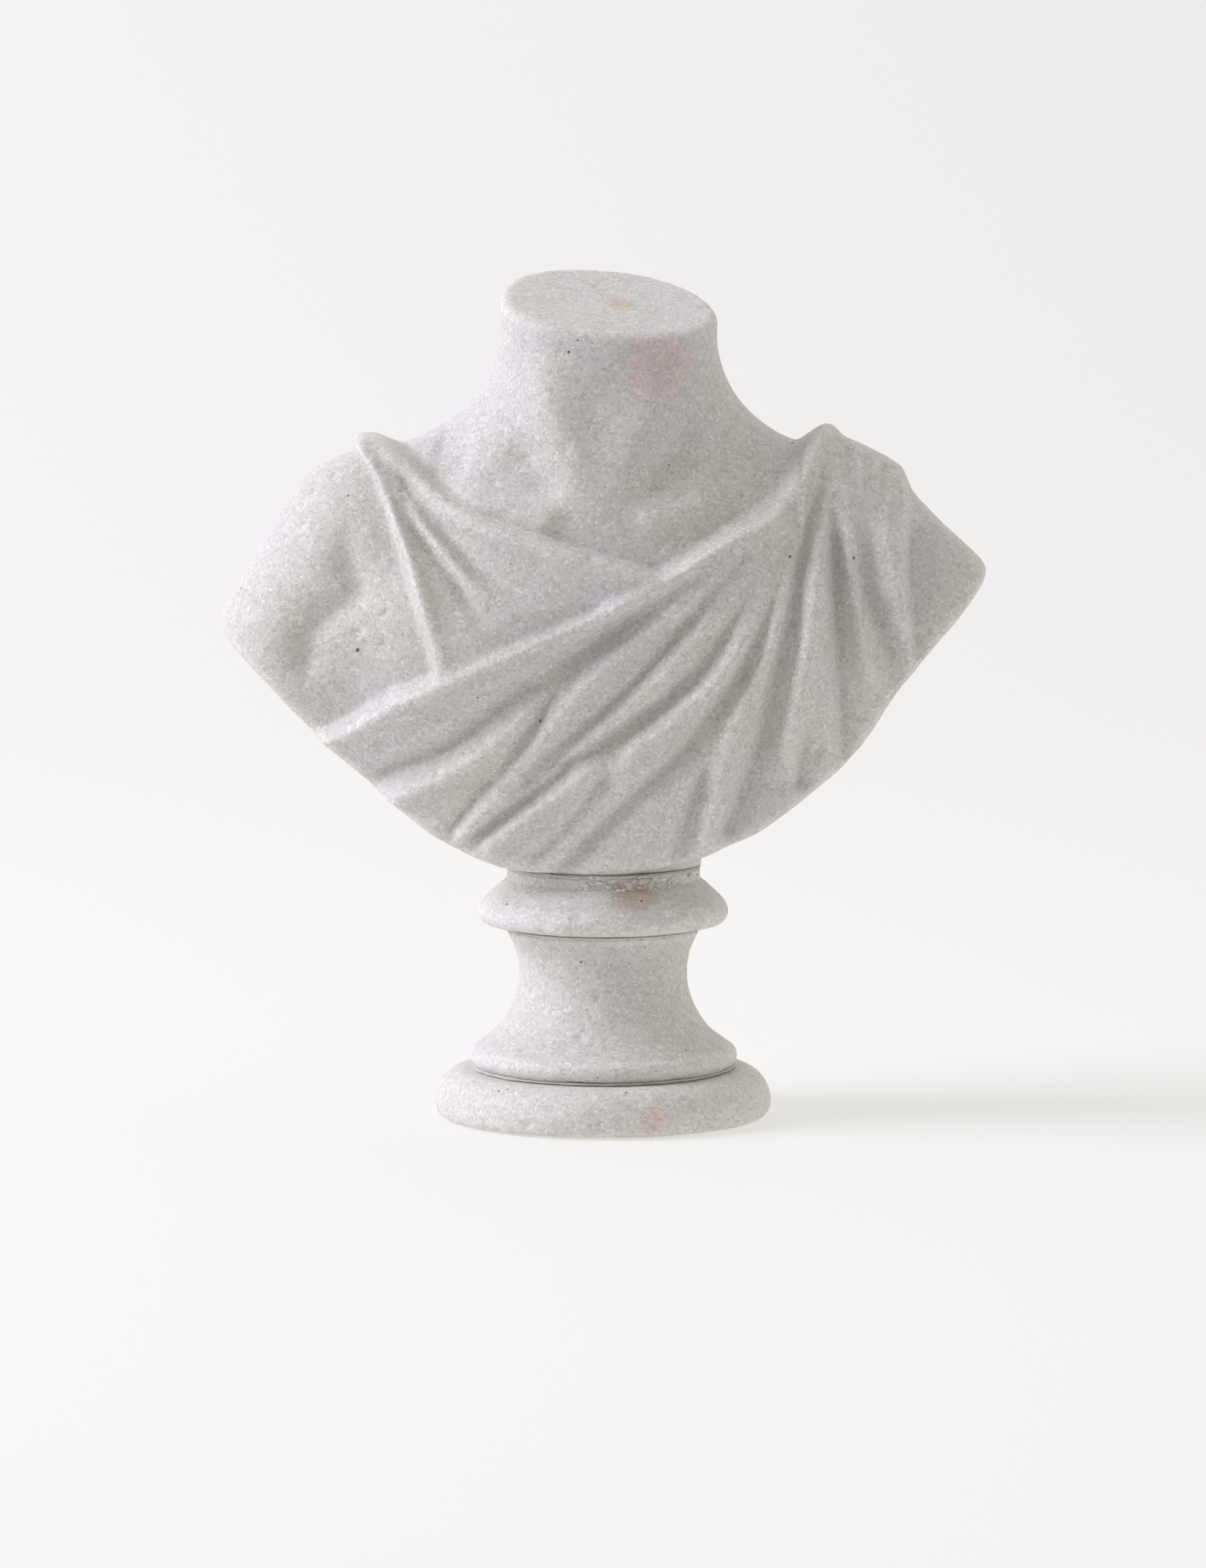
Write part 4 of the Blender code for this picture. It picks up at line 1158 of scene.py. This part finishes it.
# =============================================================================================
# The carved bust
# =============================================================================================
@dataclass
class CarvedBust:
    """The headless draped bust: one block, with a flat seat and a blind hole for the rod.

    Its forms are in millimetres above the seat, with +X to the viewer's right and the face
    of the chest towards -Y, and are fitted to the frame's bust at the end.
    """

    finish: Marble
    node: str = "bust"
    cell: float = 1.26
    low: Point3 = (-134.0, -58.0, -4.0)
    high: Point3 = (134.0, 60.0, 202.0)

    masses: tuple[Mass, ...] = (
        Mass((0, 2, 54), (104, 43, 98)),
        Mass((-44, -10, 78), (46, 29, 44)),
        Mass((46, -10, 79), (46, 30, 45)),
        Mass((0, 10, 116), (74, 28, 34)),
    )
    limbs: tuple[Limb, ...] = (
        Limb((-30, 6, 120), 22, (-74, 5, 109.5), 24.5),
        Limb((-81.5, 5, 106.5), 27.3, (-99.5, 2, 73.5), 29.5),
        Limb((30, 6, 118), 22, (74, 5, 109.5), 24.5),
        Limb((80, 5, 110.5), 24, (104, 4, 86.5), 24.5),
        Limb((100, 4, 86), 25, (104, 4, 66), 26),
    )
    neck_muscles: tuple[Limb, ...] = (
        Limb((-19, -11, 190), 11, (-7, -27, 124), 6),
        Limb((22, -7, 190), 11, (2, -28, 122), 6),
    )
    mass_blend: float = 14.0
    limb_blend: float = 16.0
    neck_blend: float = 28.0
    muscle_blend: float = 12.0
    neck_centre: Point2 = (1.1, 1.5)
    neck_half_width: float = 35.2
    neck_half_depth: float = 33.0
    neck_flare: float = 0.035
    neck_root: float = 105.0

    cut_height: float = 187.6
    cut_slope: Point2 = (-0.10, 0.28)
    cut_round: float = 3.5
    lower_edge: tuple[Point2, ...] = (
        (-132, 96), (-126.5, 79), (-112, 63), (-95, 45), (-85, 36), (-66, 20), (-51, 9.5),
        (-33, 2.5), (-16, 1.0), (2, 0.8), (18, 2.6), (31, 5.5), (40, 9.5), (50, 14), (65, 25),
        (83, 40), (95, 58), (107, 73), (119, 87), (127, 98), (132, 104),
    )
    lower_edge_round: float = 3.4
    # The crest of the right shoulder, the cut end of its sleeve and the bare stump beyond it.
    right_crest: tuple[Point2, ...] = (
        (-140, 380), (0, 300), (50, 210), (70, 165), (80, 146.5), (88, 140), (95, 136.5),
        (100, 133), (102.5, 129), (106, 122), (114, 112.5), (126.5, 101), (135, 93),
    )
    right_crest_round: float = 4.0
    pad_radius: float = 32.0
    pad_height: float = 14.0
    pad_blend: float = 4.0
    front_to_back: float = 8.0
    hole_radius: float = 6.0
    hole_depth: float = 41.6

    unevenness: tuple[tuple[float, float], ...] = ((0.028, 0.00035), (0.009, 0.00012),
                                                   (0.0035, 0.00005))
    pit_count: int = 300
    seed: int = 11

    def _flesh(self, x: Array, y: Array, z: Array) -> Array:
        """The undraped torso with its shoulders and neck."""
        stone = self.masses[0].field(x, y, z)
        for mass in self.masses[1:]:
            stone = blend_in(stone, mass.field(x, y, z), self.mass_blend)
        for limb in self.limbs:
            stone = blend_in(stone, limb.field(x, y, z), self.limb_blend)
        widening = self.neck_flare * np.maximum(self.cut_height - z, 0)
        across = np.hypot((x - self.neck_centre[0]) / (self.neck_half_width + widening),
                          (y - self.neck_centre[1]) / (self.neck_half_depth + widening))
        neck = np.maximum((across - 1) * (self.neck_half_depth + widening), self.neck_root - z)
        stone = blend_in(stone, neck, self.neck_blend)
        for muscle in self.neck_muscles:
            stone = blend_in(stone, muscle.field(x, y, z), self.muscle_blend)
        return stone

    def _field(self) -> Callable[..., Array]:
        """Gives the whole bust as a function of its coordinates, negative inside the stone."""
        front, back = Relief(Side.FRONT), Relief(Side.BACK)
        steep = math.sqrt(1 + self.cut_slope[0] ** 2 + self.cut_slope[1] ** 2)

        def stone(x: Array, y: Array, z: Array) -> Array:
            """Near distance to the stone's surface."""
            value = self._flesh(x, y, z)
            facing = ramp(0.5 - y / (2 * self.front_to_back))
            value = value + front.read(x, z) * facing + back.read(x, z) * (1 - facing)
            value = blend_cut(value, -height_above(self.lower_edge, x, z), self.lower_edge_round)
            value = blend_cut(value, height_above(self.right_crest, x, z), self.right_crest_round)
            pad = np.maximum(np.hypot(x, y) - self.pad_radius, z - self.pad_height)
            value = blend_in(value, pad, self.pad_blend)
            cut = z - self.cut_height - self.cut_slope[0] * x - self.cut_slope[1] * y
            value = blend_cut(value, cut / steep, self.cut_round)
            hole = np.maximum(np.hypot(x, y) - self.hole_radius, z - self.hole_depth)
            return np.maximum(np.maximum(value, -z), -hole)

        return stone

    def _fit(self, points: Array) -> Array:
        """Stretches the sculpt from its own size to the frame's bust, in metres."""
        low, high = (np.array(corner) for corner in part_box(self.node))
        own_low, own_high = points.min(axis=0), points.max(axis=0)
        own_low[2] = 0.0
        return low + (points - own_low) * (high - low) / (own_high - own_low)

    def _pit(self, mesh: bpy.types.Mesh) -> None:
        """Sinks pits where crystals and bruised stone fell out, away from the seat."""
        points, normals = points_of(mesh), normals_of(mesh)
        draw = np.random.default_rng(self.seed)
        seat = points[:, 2].min()
        clear = (points[:, 2] > seat + 6 * MM) & (np.hypot(*points[:, :2].T) > 9 * MM)
        free = np.flatnonzero(clear)
        # The stone is sounder in some places than in others, so the pits lie in clusters.
        weak = ramp(0.5 + 1.6 * noise_at(points[free], 0.022, self.seed)) ** 2 + 0.04
        chosen = draw.choice(free, self.pit_count, replace=False, p=weak / weak.sum())
        move_points(mesh, pitted(points, normals, chosen, (0.8, 1.4), 0.42, draw))

    def build(self) -> bpy.types.Object:
        """Carves, fits and dresses the bust.

        Returns:
            The finished piece.
        """
        stone = self._field()
        points, quads = net_over(stone, self.low, self.high, self.cell)
        points = settled(stone, points, self.cell / 3, rounds=3)
        mesh = bpy.data.meshes.new("carved_bust")
        mesh.from_pydata(self._fit(points).tolist(), [], quads.tolist())
        mesh.update()
        outward_mesh(mesh)
        mark_hollows(mesh, depth=1.1 * MM, rounds=24)
        seat = points_of(mesh)[:, 2].min()
        kept = points_of(mesh)
        roughen(mesh, self.unevenness, self.seed)
        self._pit(mesh)
        moved = points_of(mesh)
        # The seat stays flat, so that the bust lies on its mortar.
        flat = np.abs(kept[:, 2] - seat) < 0.2 * MM
        moved[flat] = kept[flat]
        moved[:, 2] = np.maximum(moved[:, 2], seat)
        move_points(mesh, moved)
        return place_piece("carved_bust", mesh, self.finish.material(),
                           self.node)


# =============================================================================================
# The turned socle
# =============================================================================================
@dataclass
class Socle:
    """The three turned stones and the mortar between them."""

    finish: Marble
    mortar: Mortar
    segments: int = 176
    samples: int = 150
    bore: float = 4.75 * MM
    collar_neck: float = 32.0 * MM
    bead_segments: int = 120
    bead_samples: int = 28
    unevenness: tuple[tuple[float, float], ...] = ((0.020, 0.00018), (0.006, 0.00008),
                                                   (0.0025, 0.00005))
    seed: int = 23
    lathe: bpy.types.NodeTree = field(init=False)

    def __post_init__(self) -> None:
        """Sets up the lathe."""
        self.lathe = lathe_tree()

    def _turn(self, outline: Sequence[Point2], finish: bpy.types.Material, segments: int,
              samples: int) -> bpy.types.Mesh:
        """Turns one closed outline."""
        return grown(self.lathe, {"Segments": segments, "Samples": samples}, finish, outline)

    def _stone(self, node: str, outline: Sequence[Point2], chips: int, seed: int,
               finish: bpy.types.Material) -> bpy.types.Object:
        """Turns, wears and dresses one stone.

        Args:
            node: The frame node that it stands for.
            outline: Its closed outline of (radius, height) points.
            chips: How many chips its edges have lost.
            seed: Shifts its wear.
            finish: The marble's material.

        Returns:
            The finished piece.
        """
        mesh = self._turn(outline, finish, self.segments, self.samples)
        mark_hollows(mesh, depth=0.7 * MM, rounds=24)
        kept = points_of(mesh)
        roughen(mesh, self.unevenness, seed)
        points, normals = points_of(mesh), normals_of(mesh)
        draw = np.random.default_rng(seed)
        outside = np.hypot(kept[:, 0], kept[:, 1]) > self.bore + 6 * MM
        free = np.flatnonzero(outside & (np.abs(normals[:, 2]) < 0.97))
        chosen = draw.choice(free, chips, replace=False)
        points = pitted(points, normals, chosen, (0.7, 1.6), 0.4, draw)
        # The bedded faces stay flat between the joints.
        low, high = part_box(node)
        points[:, 2] = np.clip(points[:, 2], low[2], high[2])
        inner = ~outside
        points[inner] = kept[inner]
        move_points(mesh, points)
        return place_piece(f"{node}_stone", mesh, finish, node)

    def _plinth_outline(self) -> list[Point2]:
        """Bullnose plinth with its felt pocket and the recess for the nut."""
        low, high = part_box("plinth")
        radius = high[0]
        felt_low, felt_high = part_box("base_felt")
        washer_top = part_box("washer")[1]
        pocket, roof = felt_high[0] + 0.3 * MM, felt_high[2] + 0.3 * MM
        foot, foot_rise = 3.0 * MM, 4.0 * MM
        shoulder, shoulder_rise = 9.9 * MM, 11.2 * MM
        return (
            arc((radius - foot, low[2] + foot_rise), (foot, foot_rise), -90, 0, 9)[:-1]
            + arc((radius - shoulder, high[2] - shoulder_rise), (shoulder, shoulder_rise), 0, 90,
                  16)
            + [(self.bore, high[2]), (self.bore, washer_top[2] + 0.3 * MM),
               (washer_top[0] + 4 * MM, washer_top[2] + 0.3 * MM), (washer_top[0] + 4 * MM, roof),
               (pocket, roof), (pocket, low[2])]
        )

    def _stem_outline(self) -> list[Point2]:
        """Waisted stem: a torus at its foot, a crease, then one hollow sweep up to its head."""
        low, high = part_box("stem")
        base, top = low[2], high[2]
        foot, waist, head = high[0], 27.9 * MM, 32.4 * MM
        half = 3.6 * MM
        torus = arc((foot - half, base + 0.9 * half), (half, half), -60, 56, 18)
        start_r, start_z = torus[-1][0] - 1.3 * MM, torus[-1][1] + 0.8 * MM
        waist_z = base + 0.69 * (top - base)
        spread, drop, rise = start_r - waist, waist_z - start_z, top - waist_z
        sweep = smooth_curve([
            (start_r, start_z), (waist + 0.54 * spread, start_z + 0.21 * drop),
            (waist + 0.22 * spread, start_z + 0.48 * drop),
            (waist + 0.04 * spread, start_z + 0.75 * drop), (waist, waist_z),
            (waist + 0.20 * (head - waist), waist_z + 0.42 * rise),
            (waist + 0.60 * (head - waist), waist_z + 0.74 * rise), (head, top),
        ], 6).tolist()
        return torus + sweep + [(self.bore, top), (self.bore, base)]

    def _collar_outline(self) -> list[Point2]:
        """Ring stone: a torus underneath, then a long shoulder that rises to the seat."""
        low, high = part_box("collar")
        base, top = low[2], high[2]
        half, seat = 3.3 * MM, self.collar_neck
        ring = arc((high[0] - half, base + 4.8 * MM), (half, half + 0.6 * MM), -75, 20, 16)
        reach, climb = ring[-1][0] - seat, top - 3.6 * MM - ring[-1][1]
        shoulder = smooth_curve([
            ring[-1], (seat + 0.86 * reach, ring[-1][1] + 0.25 * climb),
            (seat + 0.60 * reach, ring[-1][1] + 0.50 * climb),
            (seat + 0.26 * reach, ring[-1][1] + 0.80 * climb), (seat, ring[-1][1] + climb),
        ], 6).tolist()[1:]
        return ([(33.0 * MM, base)] + ring + shoulder
                + [(seat, top), (self.bore, top), (self.bore, base)])

    def _crumb(self, mesh: bpy.types.Mesh, count: int, seed: int) -> None:
        """Leaves crumbs of mortar on the ring stone's neck, mostly at the front and the right.

        Args:
            mesh: The bed of mortar that the crumbs came from, and join.
            count: How many there are.
            seed: Sets where they lie.
        """
        draw = np.random.default_rng(seed)
        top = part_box("collar")[1][2]
        neck = self.collar_neck
        shape = bmesh.new()
        shape.from_mesh(mesh)
        for _ in range(count):
            angle = math.radians(-72 + 26 * draw.standard_normal())
            height = top + MM * (0.6 - 4.6 * draw.random() ** 1.4)
            radius = MM * (0.30 + 0.65 * draw.random() ** 2)
            place = (neck * math.cos(angle), neck * math.sin(angle), height)
            lump = bmesh.ops.create_icosphere(shape, subdivisions=2, radius=radius)["verts"]
            for corner in lump:
                squeeze = 0.8 + 0.4 * noise.noise(corner.co / radius * 1.4 + Vector(place) / MM)
                corner.co = Vector((corner.co.x * 1.5, corner.co.y, corner.co.z)) * squeeze
            bmesh.ops.rotate(shape, verts=lump, cent=(0, 0, 0),
                             matrix=Matrix.Rotation(angle + math.pi / 2, 3, "Z"))
            bmesh.ops.translate(shape, verts=lump, vec=place)
        shape.to_mesh(mesh)
        shape.free()

    def _bead(self, node: str, proud: float, climb: float, seed: int,
              finish: bpy.types.Material, crumbs: int = 0) -> bpy.types.Object:
        """Makes one bed of mortar, with the ragged bead that was pressed out of its joint.

        Args:
            node: The frame's bed that it stands for.
            proud: How far the bead stands out of the joint.
            climb: How far it climbs the stones above and below.
            seed: Shifts its raggedness.
            finish: The mortar's material.
            crumbs: How many crumbs of it were left on the stone below.

        Returns:
            The finished piece.
        """
        low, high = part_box(node)
        rim = high[0] + 0.6 * MM
        middle = (low[2] + high[2]) / 2
        half = (high[2] - low[2]) / 2
        outline = ([(self.bore, middle - half), (rim - 1.2 * MM, middle - half)]
                   + arc((rim - 0.6 * MM, middle), (0.6 * MM + proud, climb), -80, 80, 12)
                   + [(rim - 1.2 * MM, middle + half), (self.bore, middle + half)])
        mesh = self._turn(outline, finish, self.bead_segments, self.bead_samples)
        points = points_of(mesh)
        angle = np.arctan2(points[:, 1], points[:, 0])
        around = np.stack([np.cos(angle), np.sin(angle), np.zeros(len(angle))], axis=1)
        ragged = 0.8 + 0.6 * noise_at(around, 0.16, seed) + 0.4 * noise_at(around, 0.05, seed + 1)
        ragged = np.clip(ragged, 0.6, 1.25)
        outer = ramp((np.hypot(points[:, 0], points[:, 1]) - rim + 1.2 * MM) / MM)
        points[:, 2] = middle + (points[:, 2] - middle) * (1 - outer * (1 - ragged))
        shrink = 1 - outer * (1 - ragged) * proud / rim
        points[:, :2] *= shrink[:, None]
        move_points(mesh, points)
        roughen(mesh, ((0.0015, 0.00012),), seed)
        if crumbs:
            self._crumb(mesh, crumbs, seed)
        return place_piece(f"{node}_mortar", mesh, finish, node)

    def build(self) -> list[bpy.types.Object]:
        """Turns the three stones and lays the mortar.

        Returns:
            The finished pieces.
        """
        marble, lime = self.finish.material(), self.mortar.material()
        return [
            self._stone("plinth", self._plinth_outline(), 150, self.seed, marble),
            self._stone("stem", self._stem_outline(), 110, self.seed + 1, marble),
            self._stone("collar", self._collar_outline(), 90, self.seed + 2, marble),
            self._bead("plinth_bed", 1.5 * MM, 1.2 * MM, self.seed + 3, lime),
            self._bead("collar_bed", 1.5 * MM, 1.0 * MM, self.seed + 4, lime),
            self._bead("seat_bed", 0.6 * MM, 1.2 * MM, self.seed + 5, lime, crumbs=110),
        ]


# =============================================================================================
# The rod and its fixings, and the felt
# =============================================================================================
@dataclass
class Fixings:
    """The threaded rod through the column, its resin, its washer and its nut."""

    steel: ZincSteel
    resin: CuredResin
    pitch: float = 1.25 * MM
    thread_depth: float = 0.65 * MM
    segments: int = 24
    rings_per_pitch: int = 10

    def build(self) -> bpy.types.Object:
        """Threads the rod and dresses the frame's own nodes around it.

        Returns:
            The threaded rod.
        """
        low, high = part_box("tie_rod")
        length = high[2] - low[2]
        steel = self.steel.material()
        mesh = grown(thread_tree(), {
            "Bottom": low[2], "Length": length, "Radius": high[0], "Depth": self.thread_depth,
            "Pitch": self.pitch, "Segments": self.segments,
            "Rings": round(length / self.pitch * self.rings_per_pitch),
        }, steel)
        rod = place_piece("threaded_rod", mesh, steel, "tie_rod")
        for node, finish in (("washer", steel), ("nut", steel),
                             ("rod_resin", self.resin.material())):
            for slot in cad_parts[node].material_slots:
                slot.material = finish
            LOG.info("%s: dressed with %s", node, finish.name)
        return rod


@dataclass
class FeltFoot:
    """The felt disc under the plinth: crowned at its cut edge and a little uneven."""

    finish: WoolFelt
    segments: int = 96
    rings: int = 22
    edge_round: float = 0.45 * MM
    seed: int = 31

    def build(self) -> bpy.types.Object:
        """Cuts and dresses the felt.

        Returns:
            The finished piece.
        """
        low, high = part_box("base_felt")
        radius, thickness = high[0], high[2] - low[2]
        inner = [(radius * i / self.rings, 0.0) for i in range(1, self.rings)]
        edge = arc((radius - self.edge_round, self.edge_round), (self.edge_round,) * 2, -90, 0, 4)
        under = inner[:-1] + edge
        profile = under + [(r, thickness - z) for r, z in reversed(under)]
        shape = bmesh.new()
        bottom = shape.verts.new((0, 0, low[2]))
        top = shape.verts.new((0, 0, high[2]))
        turns = [2 * math.pi * i / self.segments for i in range(self.segments)]
        rows = [[shape.verts.new((r * math.cos(a), r * math.sin(a), low[2] + z)) for a in turns]
                for r, z in profile]
        for i in range(self.segments):
            j = (i + 1) % self.segments
            shape.faces.new((bottom, rows[0][j], rows[0][i]))
            shape.faces.new((top, rows[-1][i], rows[-1][j]))
            for below, above in zip(rows, rows[1:]):
                shape.faces.new((below[i], below[j], above[j], above[i]))
        bmesh.ops.recalc_face_normals(shape, faces=shape.faces)
        mesh = bpy.data.meshes.new("felt_foot")
        shape.to_mesh(mesh)
        shape.free()
        points = points_of(mesh)
        worn = noise_at(points, 0.006, self.seed)
        points[:, 2] += np.where(points[:, 2] > thickness / 2, 0.06, 0.0) * MM * worn
        points[:, 2] = np.clip(points[:, 2], low[2], high[2])
        move_points(mesh, points)
        felt = place_piece("felt_foot", mesh, self.finish.material(), "base_felt")
        return felt


# =============================================================================================
# The studio
# =============================================================================================
@dataclass(frozen=True)
class SoftBox:
    """A square light that is turned towards a point."""

    name: str
    place: Point3
    side: float
    watts: float
    colour: str = "#ffffff"


@dataclass
class Studio:
    """A seamless pale floor, one soft light on the upper left, soft air and the camera."""

    paper: SeamlessPaper
    camera_place: Point3 = (0.0, -2.5, 0.4049)
    camera_aim: Point3 = (0.0, 0.0, 0.11077)
    lens_mm: float = 174.12
    sensor_mm: float = 36.0
    sky_low: str = "#74706c"
    sky_high: str = "#efece9"
    # The air is brightest towards this direction, up and to the right, and darkest away from it.
    sky_pull: Point3 = (0.46, 0.18, 0.70)
    floor_half: float = 3.0
    floor_front: float = -0.80
    cove_start: float = 1.1
    cove_radius: float = 0.9
    cove_height: float = 3.2
    lights: tuple[SoftBox, ...] = (
        SoftBox("side softbox", (-2.40, -0.27, 1.56), 1.50, 75.0, "#f1f0ff"),
    )

    def _look(self, thing: bpy.types.Object, place: Point3, aim: Point3) -> None:
        """Puts a light or the camera in place and turns it towards its aim."""
        thing.location = place
        thing.rotation_euler = (Vector(aim) - Vector(place)).to_track_quat("-Z", "Y").to_euler()
        bpy.context.scene.collection.objects.link(thing)

    def _sweep(self) -> None:
        """Lays the paper: a floor that curves up behind the object."""
        turns = np.radians(np.linspace(0, 90, 24))
        line = [(self.floor_front, 0.0)]
        line += [(self.cove_start + self.cove_radius * math.sin(a),
                  self.cove_radius * (1 - math.cos(a))) for a in turns]
        line.append((self.cove_start + self.cove_radius, self.cove_height))
        mesh = bpy.data.meshes.new("paper sweep")
        wide = self.floor_half
        mesh.from_pydata([(x, y, z) for y, z in line for x in (-wide, wide)], [],
                         [(2 * i, 2 * i + 1, 2 * i + 3, 2 * i + 2) for i in range(len(line) - 1)])
        mesh.shade_smooth()
        mesh.materials.append(self.paper.material())
        sweep = bpy.data.objects.new("paper_sweep", mesh)
        bpy.context.scene.collection.objects.link(sweep)

    def build(self) -> None:
        """Builds the floor, the lights and the camera."""
        self._sweep()
        world = bpy.data.worlds.new("studio air")
        world.use_nodes = True
        tree = world.node_tree
        way = add(tree, "ShaderNodeVectorMath", {"operation": "DOT_PRODUCT"},
                  in0=add(tree, "ShaderNodeTexCoord").outputs["Generated"], in1=self.sky_pull)
        rise = ranged(tree, way.outputs["Value"], -0.1, 0.85)
        glow = mixed(tree, rise, self.sky_low, self.sky_high)
        tree.links.new(glow, tree.nodes["Background"].inputs["Color"])
        bpy.context.scene.world = world
        for box in self.lights:
            lamp = bpy.data.lights.new(box.name, "AREA")
            lamp.shape = "SQUARE"
            lamp.size = box.side
            lamp.energy = box.watts
            lamp.color = linear(box.colour)[:3]
            self._look(bpy.data.objects.new(box.name, lamp), box.place, self.camera_aim)
        lens = bpy.data.cameras.new("camera")
        lens.lens = self.lens_mm
        lens.sensor_width = self.sensor_mm
        lens.clip_start, lens.clip_end = 0.05, 20.0
        camera = bpy.data.objects.new("camera", lens)
        self._look(camera, self.camera_place, self.camera_aim)
        bpy.context.scene.camera = camera
        bpy.context.scene.view_settings.view_transform = "Standard"
        bpy.context.scene.view_settings.look = "None"


def main() -> None:
    """Builds the studio and every piece."""
    logging.basicConfig(level=logging.INFO, format="%(name)s: %(message)s")
    bust_marble = Marble(name="coarse white marble, carved and honed", stains=(
        ((0.019, -0.028, 0.252), 12.0, "#dad1cf"),
        ((0.006, 0.000, 0.272), 5.0, "#d3c8b9"),
    ))
    socle_marble = Marble(name="coarse white marble, turned and honed", cool="#dad9d7",
                          warm="#dbd7d1", warm_share=0.5, stains=(
                              # This patch, in the joint under the bust's front edge, is olive
                              # dirt darkened with painted shade from that overhang.
                              ((0.010, -0.034, 0.0800), 9.0, "#bdb6a8"),
                              ((0.017, -0.054, 0.0055), 5.0, "#d6c7ba"),
                          ))
    Studio(SeamlessPaper()).build()
    CarvedBust(bust_marble).build()
    Socle(socle_marble, Mortar()).build()
    Fixings(ZincSteel(), CuredResin()).build()
    FeltFoot(WoolFelt()).build()


if __name__ == "__main__":
    main()
